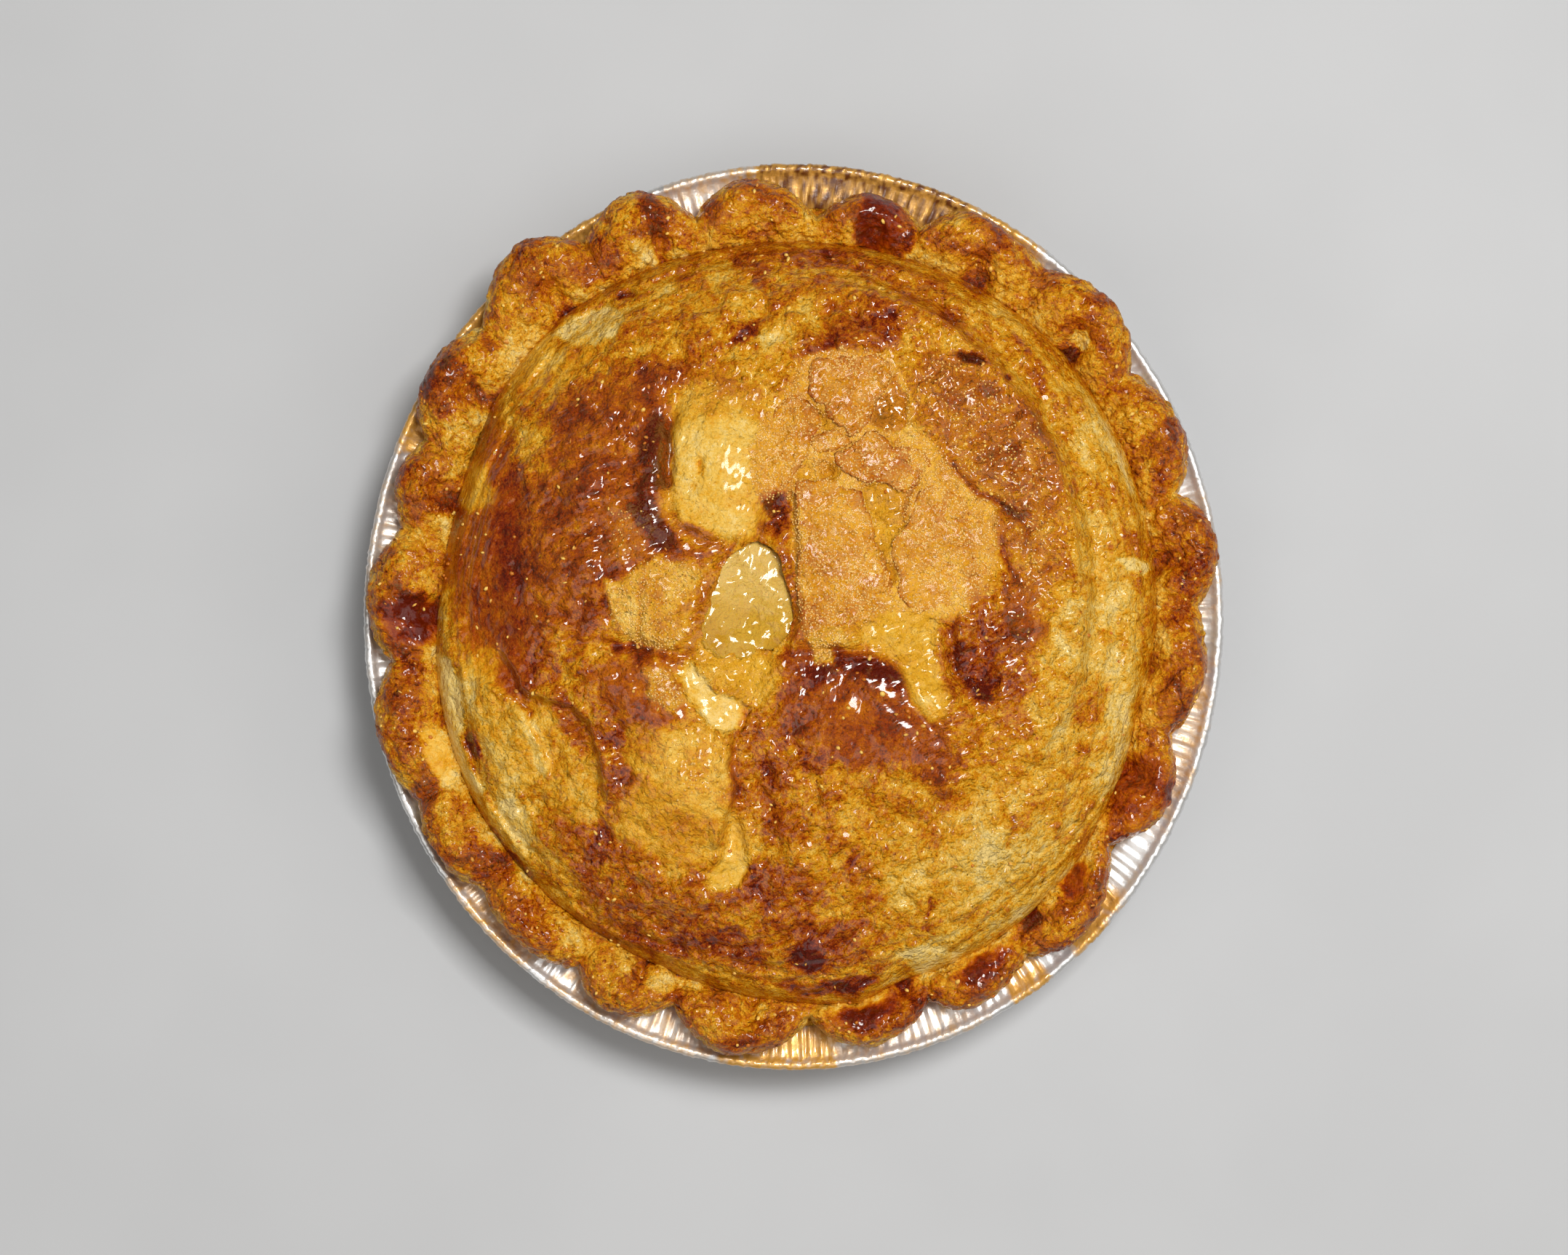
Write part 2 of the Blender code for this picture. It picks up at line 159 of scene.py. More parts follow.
class StageLook(bpy.types.PropertyGroup):
    """The floor, the lights and the camera."""

    floor: colour("Floor", "Colour of the floor", 189, 191, 194)
    floor_size: length("Floor Size", "Width of the floor", 6.0)
    key_power: watts("Key Power", "Power of the key light in watts", 19.5)
    fill_power: watts("Fill Power", "Power of each fill light in watts", 4.8)
    surround: share("Surround", "Brightness of the soft light all round", 0.085)
    lens: length("Lens", "Focal length in millimetres, as metres", 0.085)


# ---- Numbers: noise and smooth steps -------------------------------------------------------


NOISE_STRENGTH = 1.7  # brings smooth noise to about -1 to 1
LAYER_FADE = 1.8  # each finer layer of noise is weaker by this
TURNS = ((0.6, 1.7, "X"), (0.9, 1.1, "Z"), (0.5, 0.7, "Y"))  # first turn, turn for each number, axis
PEBBLE_REACH = 0.75  # how far a pebble reaches, as a share of the spacing, squared
SECOND_SEED = 40  # added to a seed for the push in the other direction


def ease(amount):
    """Runs smoothly from 0 to 1, and stays there on either side."""
    amount = np.clip(amount, 0.0, 1.0)
    return amount * amount * (3 - 2 * amount)


def bell(amount):
    """Falls from 1 at 0 to nearly 0 at 2, to either side."""
    return np.exp(-(amount**2))


def within_turn(degrees):
    """The same turn between -180 and 180 degrees."""
    return (degrees + 180) % 360 - 180


def drawn_number(order, corner):
    """A number from 0 to 255 for each corner of a lattice, as if it was drawn there."""
    return order[order[order[corner[:, 0]] + corner[:, 1]] + corner[:, 2]]


def smooth_noise(points, seed):
    """Noise of about -1 to 1 at points in space, with one bump to each unit."""
    random = np.random.default_rng(seed)
    order = np.tile(random.permutation(256), 2)
    slopes = random.normal(size=(256, 3))
    slopes /= np.linalg.norm(slopes, axis=1, keepdims=True)
    corner = np.floor(points).astype(int)
    inside = points - corner
    corner &= 255
    fade = inside**3 * (inside * (inside * 6 - 15) + 10)
    total = np.zeros(len(points))
    for step in np.ndindex(2, 2, 2):
        rise = (slopes[drawn_number(order, corner + step)] * (inside - step)).sum(axis=1)
        weight = np.where(np.array(step, bool), fade, 1 - fade).prod(axis=1)
        total += rise * weight
    return total * NOISE_STRENGTH


def turned(points, number):
    """Points turned about, differently for each number, so that no pattern follows the axes."""
    turn = Matrix.Identity(3)
    for start, step, axis in TURNS:
        turn = turn @ Matrix.Rotation(start + step * number, 3, axis)
    return points @ np.array(turn) + 0.37 + 7.3 * number


def noise(points, size, seed, layers=1):
    """Noise of about -1 to 1, in bumps of a size, with finer layers added."""
    total = np.zeros(len(points))
    strength = 0.0
    for layer in range(layers):
        here = turned(points, seed + layer) * (2**layer / size)
        total += smooth_noise(here, seed + layer) / LAYER_FADE**layer
        strength += 1 / LAYER_FADE**layer
    return total / strength


def pebbles(points, size, seed):
    """Rounded bumps side by side: 1 on each one's middle, down to 0 between them."""
    random = np.random.default_rng(seed)
    order = np.tile(random.permutation(256), 2)
    places = random.uniform(0.15, 0.85, size=(256, 3))
    scaled = turned(points, seed) / size
    cell = np.floor(scaled).astype(int)
    inside = scaled - cell
    nearest = np.full(len(points), 9.0)
    for step in np.ndindex(3, 3, 3):
        offset = np.array(step) - 1
        spot = offset + places[drawn_number(order, (cell + offset) & 255)]
        nearest = np.minimum(nearest, ((inside - spot) ** 2).sum(axis=1))
    return np.clip(1 - nearest / PEBBLE_REACH, 0.0, 1.0)


def warped(points, size, amount, seed):
    """Points pushed about sideways by noise, so that edges drawn at them are uneven."""
    pushed = points.copy()
    pushed[:, 0] += amount * noise(points, size, seed, 3)
    pushed[:, 1] += amount * noise(points, size, seed + SECOND_SEED, 3)
    return pushed


def squeeze(radius, angle):
    """Where the oval tin holds points that are given round."""
    return radius * np.cos(angle) * OVAL[0], radius * np.sin(angle) * OVAL[1]


def round_place(places):
    """The radius and the angle in degrees that places of the oval had while it was round."""
    round_x = places[:, 0] / OVAL[0]
    round_y = places[:, 1] / OVAL[1]
    return np.hypot(round_x, round_y), np.degrees(np.arctan2(round_y, round_x))


def level_points(places):
    """Places seen from above as points in space, all at no height."""
    return np.column_stack((places, np.zeros(len(places))))


# ---- Meshes ----------------------------------------------------------------------------------


def new_object(name, data):
    """Puts a mesh, a light or a camera in the scene under a name."""
    data.name = name
    made = bpy.data.objects.new(name, data)
    bpy.context.scene.collection.objects.link(made)
    return made


def mesh_of(points, faces):
    """A mesh with smooth faces from arrays of points and of faces of one size."""
    mesh = bpy.data.meshes.new("shape")
    points = np.asarray(points, float)
    faces = np.asarray(faces, int)
    corners = faces.shape[1]
    mesh.vertices.add(len(points))
    mesh.vertices.foreach_set("co", points.ravel())
    mesh.loops.add(faces.size)
    mesh.loops.foreach_set("vertex_index", faces.ravel())
    mesh.polygons.add(len(faces))
    mesh.polygons.foreach_set("loop_start", np.arange(len(faces)) * corners)
    mesh.update(calc_edges=True)
    mesh.shade_smooth()
    return mesh


def store(mesh, name, values):
    """Keeps one number for each point of a mesh, for its material to read."""
    kept = mesh.attributes.new(name, "FLOAT", "POINT")
    kept.data.foreach_set("value", np.asarray(values, np.float32))


def read_all(items, name, width):
    """One value of each item of a mesh, as an array with so many columns."""
    values = np.empty(len(items) * width, np.float32)
    items.foreach_get(name, values)
    return values.reshape(-1, width)


def points_of(mesh):
    """The points of a mesh as an array."""
    return read_all(mesh.vertices, "co", 3).astype(float)


def mark_of(mesh, name):
    """One of the numbers that a mesh keeps for its points."""
    return read_all(mesh.attributes[name].data, "value", 1)[:, 0]


def add_piece(name, mesh, material, node):
    """Adds a piece with its material and its body, and hides the solid it stands for."""
    mesh.materials.clear()
    mesh.materials.append(material)
    made = new_object(name, mesh)
    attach(made, BODY)
    if node is not None:
        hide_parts(node)


# ---- Node trees ------------------------------------------------------------------------------


class Wire:
    """The output of a node. Python's operators on it add Math nodes."""

    def __init__(self, maker, socket):
        self.maker = maker
        self.socket = socket

    def __add__(self, other):
        return self.maker.math("ADD", self, other)

    def __radd__(self, other):
        return self.maker.math("ADD", other, self)

    def __sub__(self, other):
        return self.maker.math("SUBTRACT", self, other)

    def __rsub__(self, other):
        return self.maker.math("SUBTRACT", other, self)

    def __mul__(self, other):
        return self.maker.math("MULTIPLY", self, other)


class NodeMaker:
    """Adds nodes to a shader or geometry tree."""

    def __init__(self, tree):
        self.tree = tree
        self.tree.nodes.clear()

    @staticmethod
    def find(sockets, key):
        """A socket by its place, or the first one in use that has that name."""
        if isinstance(key, int):
            return sockets[key]
        in_use = [socket for socket in sockets if socket.enabled]
        return next(socket for socket in in_use if key in (socket.name, socket.identifier))

    def node(self, kind, values=None, output=None, **settings):
        """Adds a node, sets it up, fills its sockets and gives one of its outputs."""
        made = self.tree.nodes.new(kind)
        for name, value in settings.items():
            if name == "stops":
                self.set_stops(made.color_ramp, value)
            else:
                setattr(made, name, value)
        for key, value in (values or {}).items():
            socket = self.find(made.inputs, key)
            if isinstance(value, Wire):
                self.tree.links.new(value.socket, socket)
            else:
                socket.default_value = value
        if output is not None:
            return Wire(self, self.find(made.outputs, output))
        in_use = [socket for socket in made.outputs if socket.enabled]
        return Wire(self, in_use[0]) if in_use else None

    @staticmethod
    def set_stops(ramp, stops):
        """Gives a colour ramp its stops, each a place and a colour."""
        while len(ramp.elements) < len(stops):
            ramp.elements.new(1.0)
        for element, (place, stop_colour) in zip(ramp.elements, stops):
            element.position = place
            element.color = (*stop_colour, 1.0)

    def math(self, operation, first, second=None):
        """Adds one Math node."""
        values = {0: first} if second is None else {0: first, 1: second}
        return self.node("ShaderNodeMath", values, operation=operation)

    def part(self, vector, axis):
        """One of the three numbers of a vector."""
        return self.node("ShaderNodeSeparateXYZ", {0: vector}, axis)

    def named(self, name, kind):
        """What a mesh keeps under a name, in a geometry tree."""
        return self.node("GeometryNodeInputNamedAttribute", {"Name": name}, "Attribute", data_type=kind)

    def random(self, values):
        """A vector drawn for each point, in a geometry tree."""
        return self.node("FunctionNodeRandomValue", values, data_type="FLOAT_VECTOR")

    def mix(self, factor, first, second):
        """Mixes two colours."""
        first = first if isinstance(first, Wire) else (*first, 1.0)
        second = second if isinstance(second, Wire) else (*second, 1.0)
        values = {"Factor": factor, "A": first, "B": second}
        return self.node("ShaderNodeMix", values, data_type="RGBA")

    def ramp(self, factor, low, high, to_low=0.0, to_high=1.0):
        """Runs a number smoothly from one range to another, and keeps it in there."""
        values = {"Value": factor, "From Min": low, "From Max": high, "To Min": to_low, "To Max": to_high}
        return self.node("ShaderNodeMapRange", values, interpolation_type="SMOOTHSTEP")

    def attribute(self, name):
        """A number that a mesh keeps for each of its points."""
        return self.node("ShaderNodeAttribute", None, "Fac", attribute_name=name)

    def grain(self, size, detail=3.0, roughness=0.55, stretch=(1.0, 1.0, 1.0)):
        """Noise over the object, in bumps of a size in metres."""
        place = self.node("ShaderNodeTexCoord", output="Object")
        place = self.node("ShaderNodeMapping", {"Vector": place, "Scale": stretch})
        values = {"Vector": place, "Scale": 1 / size, "Detail": detail, "Roughness": roughness}
        return self.node("ShaderNodeTexNoise", values, "Fac")

    def cells(self, size):
        """Cells over the object of a size in metres, as the distance to their middles."""
        place = self.node("ShaderNodeTexCoord", output="Object")
        return self.node("ShaderNodeTexVoronoi", {"Vector": place, "Scale": 1 / size}, "Distance")

    def bump(self, height, distance, strength=1.0, under=None):
        """A bump map of a height, a distance in metres high, over another one."""
        values = {"Height": height, "Distance": distance, "Strength": strength}
        if under is not None:
            values["Normal"] = under
        return self.node("ShaderNodeBump", values)

    def finish(self, values):
        """Ends a material's tree with one Principled shader."""
        shader = self.node("ShaderNodeBsdfPrincipled", values)
        self.node("ShaderNodeOutputMaterial", {"Surface": shader})


def new_material(name):
    """A material with an empty tree, and the maker of its nodes."""
    material = bpy.data.materials.new(name)
    material.use_nodes = True
    return material, NodeMaker(material.node_tree)


def new_geometry_tree(name, inputs):
    """A geometry tree with named inputs, its maker and a wire for each input."""
    tree = bpy.data.node_groups.new(name, "GeometryNodeTree")
    maker = NodeMaker(tree)
    tree.interface.new_socket("Geometry", in_out="INPUT", socket_type="NodeSocketGeometry")
    for label, kind in inputs.items():
        tree.interface.new_socket(label, in_out="INPUT", socket_type=kind)
    tree.interface.new_socket("Geometry", in_out="OUTPUT", socket_type="NodeSocketGeometry")
    entry = tree.nodes.new("NodeGroupInput")
    wires = {socket.name: Wire(maker, socket) for socket in entry.outputs if socket.name}
    return tree, maker, wires


def run_geometry_tree(name, base, tree, values):
    """Runs a tree on a mesh and gives the result as a plain mesh."""
    host = new_object(name + "_base", base)
    modifier = host.modifiers.new(name, "NODES")
    modifier.node_group = tree
    for socket in tree.interface.items_tree:
        if socket.in_out == "INPUT" and socket.name in values:
            modifier[socket.identifier] = values[socket.name]
    depsgraph = bpy.context.evaluated_depsgraph_get()
    mesh = bpy.data.meshes.new_from_object(host.evaluated_get(depsgraph))
    host.modifiers.remove(modifier)
    bpy.data.objects.remove(host)
    return mesh


# ---- Foil tin ----------------------------------------------------------------------------------


PANEL_ROWS = (  # radius and height, out from the middle to where the wall starts
    (0.0, PANEL_HEIGHT), (PANEL_RADIUS * 0.5, PANEL_HEIGHT), (PANEL_RADIUS - 0.001, PANEL_HEIGHT),
    (PANEL_RADIUS, PANEL_HEIGHT - 0.0002), (PANEL_RADIUS + 0.0016, 0.0002), (PANEL_RADIUS + 0.0026, 0.0),
    (BASE_RADIUS - 0.0035, 0.0), (BASE_RADIUS - 0.0010, 0.0004),
)
WALL_PARTS = (0.05, 0.12, 0.30, 0.50, 0.72, 0.90, 0.97)  # shares of the way up the wall
FLANGE_PARTS = (0.3, 0.6, 0.9)  # shares of the way from the wall to the bead
FLANGE_START = 0.001  # the flange starts this far out from the wall
FLANGE_LIFT = 0.0003
FLANGE_RISE = 0.0008
BEAD_ROWS = 10
BEAD_START = 205  # in degrees, where the bead meets the flange
BEAD_TURN = 310


def tin_section(foil):
    """The tin's section, out under the base, round the rolled edge and back inside.

    Each row is a radius, a height, the way a pleat pushes there and the share of crinkle.
    """
    slope = math.atan2(WALL_TOP_HEIGHT, WALL_TOP_RADIUS - BASE_RADIUS)
    aside = (math.sin(slope), -math.cos(slope))
    rows = [(radius, height, 0, 0, 0) for radius, height in PANEL_ROWS]
    for part in WALL_PARTS:
        radius = BASE_RADIUS + part * (WALL_TOP_RADIUS - BASE_RADIUS)
        strength = 1.0 if 0.1 < part < 0.95 else 0.5
        rows.append((radius, part * WALL_TOP_HEIGHT, aside[0] * strength, aside[1] * strength, 0))
    flange_height = WALL_TOP_HEIGHT + FLANGE_LIFT
    rows.append((WALL_TOP_RADIUS + FLANGE_START, flange_height, 0.1, -0.4, 0))
    for part in FLANGE_PARTS:
        run = BEAD_CENTRE_RADIUS - BEAD_RADIUS - WALL_TOP_RADIUS - FLANGE_START
        radius = WALL_TOP_RADIUS + FLANGE_START + part * run
        rows.append((radius, flange_height + part * FLANGE_RISE, 0, -0.55, 0.12))
    inside = []
    for radius, height, push_r, push_z, crinkle in rows:
        lift = foil if push_r == 0 else foil * math.cos(slope)
        shift = 0.0 if push_r == 0 else foil * math.sin(slope)
        inside.append((max(0.0, radius - shift), height + lift, push_r, push_z, crinkle))
    bead = []
    for step in range(BEAD_ROWS):
        turn = math.radians(BEAD_START + BEAD_TURN * step / (BEAD_ROWS - 1))
        radius = BEAD_CENTRE_RADIUS + BEAD_RADIUS * math.cos(turn)
        bead.append((radius, BEAD_CENTRE_HEIGHT + BEAD_RADIUS * math.sin(turn), 0, 0, 1))
    return rows + bead + inside[::-1]


ONE_ROUND = 6.28  # the length of a round of radius 1, for bumps counted to the round
PLEAT_DRIFT = 2.2  # how many pleats the spacing wanders by
PLEAT_CHANGE = 1.6  # how much the pleats differ
PLEAT_MEAN = 0.85
CRUMPLE = 2.6  # how far the rolled edge is crumpled sideways, in crinkles
LUMPINESS = 2.0  # and up and down
WELD = 0.000002


def build_tin_tree():
    """Turns the tin's section round, presses the pleats and squeezes it oval."""
    inputs = {
        "Segments": "NodeSocketInt",
        "Rows": "NodeSocketInt",
        "Pleats": "NodeSocketInt",
        "Pleat Depth": "NodeSocketFloat",
        "Crinkle": "NodeSocketFloat",
        "Width Share": "NodeSocketFloat",
        "Length Share": "NodeSocketFloat",
        "Material": "NodeSocketMaterial",
    }
    tree, maker, wire = new_geometry_tree("foil_tin_shape", inputs)
    columns = wire["Segments"] + 1
    sizes = {"Size X": 1.0, "Size Y": 1.0, "Vertices X": columns, "Vertices Y": wire["Rows"]}
    grid = maker.node("GeometryNodeMeshGrid", sizes, "Mesh")
    place = maker.node("GeometryNodeInputPosition")
    across = maker.part(place, "X") + 0.5
    along = maker.part(place, "Y") + 0.5
    row = maker.math("ROUND", along * (wire["Rows"] - 1))

    def sample(value):
        picked = {"Geometry": wire["Geometry"], "Value": value, "Index": row}
        return maker.node("GeometryNodeSampleIndex", picked, data_type="FLOAT_VECTOR")

    section = sample(maker.node("GeometryNodeInputPosition"))
    push = sample(maker.named("push", "FLOAT_VECTOR"))
    angle = across * (2 * math.pi)
    circle_x = maker.math("COSINE", angle)
    circle_y = maker.math("SINE", angle)

    def round_noise(per_turn, depth):
        scale = per_turn / ONE_ROUND
        spot = {"X": circle_x * scale, "Y": circle_y * scale, "Z": depth}
        spot = maker.node("ShaderNodeCombineXYZ", spot)
        values = {"Vector": spot, "Scale": 1.0, "Detail": 2.0, "Roughness": 0.6}
        return maker.node("ShaderNodeTexNoise", values, "Fac") - 0.5

    turns = across * wire["Pleats"] + round_noise(60, 3.0) * PLEAT_DRIFT
    wave = maker.math("PINGPONG", turns, 0.5) * 4 - 1
    uneven = round_noise(110, 8.0) * PLEAT_CHANGE + PLEAT_MEAN
    pleat = wave * uneven * wire["Pleat Depth"]
    crinkle = maker.part(push, "Z")
    crumple = round_noise(520, along * 9) * crinkle * wire["Crinkle"] * CRUMPLE
    lumps = round_noise(330, along * 5 + 20) * crinkle * wire["Crinkle"] * LUMPINESS
    radius = maker.part(section, "X") + maker.part(push, "X") * pleat + crumple
    height = maker.part(section, "Z") + maker.part(push, "Y") * pleat + lumps
    radius = radius * maker.math("GREATER_THAN", maker.part(section, "X"), 0.0001)
    corner = {
        "X": radius * circle_x * wire["Width Share"],
        "Y": radius * circle_y * wire["Length Share"],
        "Z": height,
    }
    moved = {"Geometry": grid, "Position": maker.node("ShaderNodeCombineXYZ", corner)}
    shape = maker.node("GeometryNodeSetPosition", moved)
    shape = maker.node("GeometryNodeMergeByDistance", {"Geometry": shape, "Distance": WELD})
    for kind in ("GeometryNodeSetShadeSmooth", "GeometryNodeRealizeInstances"):
        shape = maker.node(kind, {"Geometry": shape})
    shape = maker.node("GeometryNodeSetMaterial", {"Geometry": shape, "Material": wire["Material"]})
    maker.node("NodeGroupOutput", {"Geometry": shape})
    return tree


# Juice that boiled over and baked on: the angle in degrees, half its width there, how
# thick it lies from 0 to 1, and the share of the wall it climbs, from 0 at the rolled
# edge to 1 at the pastry.
SPILLS = (
    (8, 9, 0.25, 1.0), (62, 8, 0.55, 0.9), (80, 17, 0.95, 1.0), (101, 9, 0.35, 1.0), (121, 8, 0.80, 0.9),
    (137, 6, 0.70, 0.8), (153, 5, 0.60, 0.9), (170, 12, 0.25, 0.6), (196, 12, 0.12, 0.6),
    (223, 9, 0.42, 0.8), (246, 13, 0.34, 1.0), (268, 9, 0.60, 1.0), (284, 14, 0.30, 1.0),
    (304, 3, 0.60, 1.0), (316, 5, 0.70, 0.5), (343, 13, 0.40, 0.4),
)


SPILL_RAGGED = 0.45  # how ragged a spill is to either side, in its half widths
CLIMB_RAGGED = 0.25  # and at its upper end
JUICE_START = 0.5  # share of the wall's height above which juice baked on
JUICE_RUN = 0.008
JUICE_UNDER = 0.35  # share of the juice that also lies on the outside


def spilt_juice(points):
    """How thickly juice is baked on the tin at each point."""
    outward, around = round_place(points)
    rough = noise(points, 0.006, 31, 3)
    inward = np.clip((RIM_RADIUS - outward) / (RIM_RADIUS - SEAM_RADIUS), 0, 1)
    juice = np.zeros(len(points))
    for middle, half, thickness, climb in SPILLS:
        away = np.abs(within_turn(around - middle)) / half + SPILL_RAGGED * rough
        reach = ease((climb + CLIMB_RAGGED * rough - np.abs(inward - 0.3)) / 0.3)
        juice = np.maximum(juice, thickness * ease((1.25 - away) / 0.5) * reach)
    upper = ease((points[:, 2] - JUICE_START * WALL_TOP_HEIGHT) / JUICE_RUN)
    inside = 1 - ease((outward - RIM_RADIUS + 0.35 * BEAD_RADIUS) / BEAD_RADIUS)
    streaks = 0.75 + 0.5 * noise(points, 0.0016, 35, 2)
    return np.clip(juice * upper * (JUICE_UNDER + (1 - JUICE_UNDER) * inside) * streaks, 0, 1)


FOIL_METALLIC = 0.68
JUICE_METALLIC = 0.34  # what a film of juice takes off it, and a crust of it again
FOIL_ROUGHNESS = 0.26
JUICE_BLOTCHES = 0.0022  # sizes in metres
DULL_PATCHES = 0.011
FOIL_GRAIN = 0.0007


def foil_material(look):
    """Bright pressed foil, with juice baked on where it boiled over."""
    material, maker = new_material("pressed_foil")
    juice = maker.attribute("juice")
    blotches = maker.grain(JUICE_BLOTCHES, 4.0)
    film = maker.ramp(juice + (blotches - 0.5) * 0.35, 0.06, 0.50)
    crust = maker.ramp(juice + (blotches - 0.5) * 0.5, 0.50, 0.92)
    dull = maker.grain(DULL_PATCHES, 4.0)
    metal = maker.mix(maker.ramp(dull, 0.35, 0.75) * 0.35, look.metal, look.dull_metal)
    glaze = maker.mix(crust, look.juice, look.burnt_juice)
    bumps = maker.bump(maker.grain(FOIL_GRAIN, 3.0), 0.00010, 0.5)
    bumps = maker.bump(juice + blotches * juice, 0.0005, 0.8, bumps)
    values = {
        "Base Color": maker.mix(film, metal, glaze),
        "Metallic": FOIL_METALLIC - film * JUICE_METALLIC - crust * JUICE_METALLIC,
        "Roughness": FOIL_ROUGHNESS + dull * 0.20 + film * 0.05,
        "Normal": bumps,
        "Coat Weight": film,
        "Coat Roughness": 0.12,
    }
    maker.finish(values)
    return material


class PIE_OT_foil_tin(bpy.types.Operator):
    """Builds the pleated foil tin with its rolled edge"""

    bl_idname = "pie.foil_tin"
    bl_label = "Foil Tin"

    def execute(self, context):
        look = context.scene.pie_tin
        rows = tin_section(look.foil)
        base = bpy.data.meshes.new("tin_section")
        base.from_pydata([(row[0], 0.0, row[1]) for row in rows], [], [])
        push = base.attributes.new("push", "FLOAT_VECTOR", "POINT")
        push.data.foreach_set("vector", np.array([row[2:5] for row in rows], np.float32).ravel())
        values = {
            "Segments": look.segments,
            "Rows": len(rows),
            "Pleats": look.pleats,
            "Pleat Depth": look.pleat_depth,
            "Crinkle": look.crinkle,
            "Width Share": float(OVAL[0]),
            "Length Share": float(OVAL[1]),
            "Material": foil_material(look),
        }
        mesh = run_geometry_tree("foil_tin", base, build_tin_tree(), values)
        store(mesh, "juice", spilt_juice(points_of(mesh)))
        add_piece("pleated_foil_tin", mesh, values["Material"], "foil_tin")
        return {"FINISHED"}


# ---- Lid: tables, in millimetres ------------------------------------------------------------------

# Where the crimped edge meets the lid: the angle in degrees and the radius as a share of
# the tin's.
SEAM = (
    (15, 0.845), (45, 0.850), (60, 0.838), (75, 0.826), (100, 0.826), (112, 0.834), (130, 0.848),
    (145, 0.838), (160, 0.818), (175, 0.816), (190, 0.836), (212, 0.845), (228, 0.835), (248, 0.826),
    (265, 0.840), (280, 0.862), (288, 0.836), (300, 0.850), (320, 0.848), (345, 0.822), (355, 0.838),
)

# Broad bumps and hollows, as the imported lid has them: middle, half sizes, turn in degrees
# and height.
BULGES = {
    "browned crown": (-50, 22, 30, 38, 0, 3.0),
    "pale bubble": (-19, 38, 11, 20, 15, 2.2),
    "valley at the vent": (-11, 4, 10, 19, -8, -3.0),
    "valley below the vent": (-9, -42, 7, 26, 4, -3.0),
    "front left lobe": (-31, -34, 15, 20, 0, 3.0),
    "front left hollow": (-58, -34, 9, 20, -30, -2.2),
    "front right swell": (22, -30, 22, 20, 0, 3.4),
    "wet hollow": (37, -9, 11, 10, 0, -2.8),
    "broken plateau": (28, 28, 24, 26, 0, -2.0),
    "back hump": (4, 74, 40, 14, 0, 1.8),
}

# Smaller bumps and hollows on them.
LUMPS = {
    "bubble top": (-19, 37, 7, 12, 5, 0.9),
    "pock in the bubble": (-23, 37.5, 1.3, 2.4, 10, -1.3),
    "small pock in the bubble": (-25, 32.3, 1.5, 0.9, 10, -0.9),
    "pock above the bubble": (-17, 56, 2.6, 1.0, 20, -0.8),
    "dark ridge beside the bubble": (-36, 36, 3.5, 17, 0, 1.0),
    "ditch beside the bubble": (-31.5, 38, 1.6, 16, 0, -1.1),
    "crown knob": (-53, 33, 8, 7, 0, 1.2),
    "crown front knob": (-54, 10, 9, 7, 0, 1.1),
    "crown back knob": (-47, 50, 8, 6, 20, 0.9),
    "flaky patch": (-36, 4, 11, 8, -10, 0.9),
    "ditch under the flaky patch": (-36, -8.5, 12, 2.0, -8, -1.4),
    "front crown knob": (-44, -17, 9, 6, 20, 1.3),
    "hollow in the flank": (-78, -4, 6, 9, 0, -1.1),
    "flank swell": (-78, 34, 6, 18, 8, 0.8),
    "pale pool": (-15, -55, 3.5, 6, 10, -0.9),
    "pale pool in front": (-17, -65, 4, 4, 0, -0.7),
    "lobe knee": (-36, -25, 8, 6, 20, 0.8),
    "lobe shin": (-27, -46, 9, 8, -10, 0.9),
    "swell ridge": (25, -26, 7, 9, 40, 1.2),
    "swell knee": (10, -33, 8, 7, 0, 0.8),
    "swell front": (33, -38, 9, 5, -30, 0.8),
    "groove behind the swell": (16, -11, 15, 2.4, -8, -1.5),
    "groove beside the pool": (41, -14, 2.2, 9, 12, -1.2),
    "dark pit": (47, -13, 3.4, 7, 8, -1.1),
    "knob beside the pit": (58, -3, 5, 8, 0, 1.2),
    "pit at the vent": (-5, 24, 3.2, 4, -20, -2.0),
    "gap in front of the back flake": (6, 50, 3.2, 2.2, -35, -1.6),
    "hole by the slab": (8, 36.5, 2.2, 1.6, 0, -1.8),
    "plateau crack": (24, 10, 1.4, 2.6, -25, -1.6),
    "back cluster": (16, 70, 8, 4, -10, 0.9),
    "back knob": (24, 74, 5, 4, 0, 1.0),
    "brown back swell": (40, 56, 8, 9, -30, 0.9),
    "shoulder knob": (55, 38, 6, 8, 0, 1.1),
    "slit in the shoulder": (45, 64.8, 4.2, 1.0, -12, -1.5),
    "pale gap at the shoulder": (45, 61.5, 4, 1.6, -15, -0.8),
    "right flank swell": (78, 30, 5, 16, 12, 1.0),
    "right flank hollow": (76, 4, 3, 12, 4, -0.9),
    "front pale swell": (54, -58, 13, 11, 30, 1.2),
    "front pale swell low": (36, -80, 12, 8, 10, 1.0),
    "hollow between the swells": (45, -46, 14, 3, 20, -1.0),
    "front glossy knob": (4, -86, 4, 3, 20, 0.8),
    "front knob": (-25, -70, 9, 6, 10, 1.0),
    "far left torn hollow": (-52, 76, 8, 4, 25, -1.2),
    "hole in the far left": (-43, 82, 2.0, 1.0, 15, -1.4),
    "far knob": (-19, 84, 7, 5, 0, 0.8),
    "far ditch": (-12, 71, 5, 1.6, 35, -0.7),
    "middle front swell": (0, -56, 7, 9, 0, 0.8),
    "right middle swell": (62, -30, 9, 11, 0, 0.8),
}

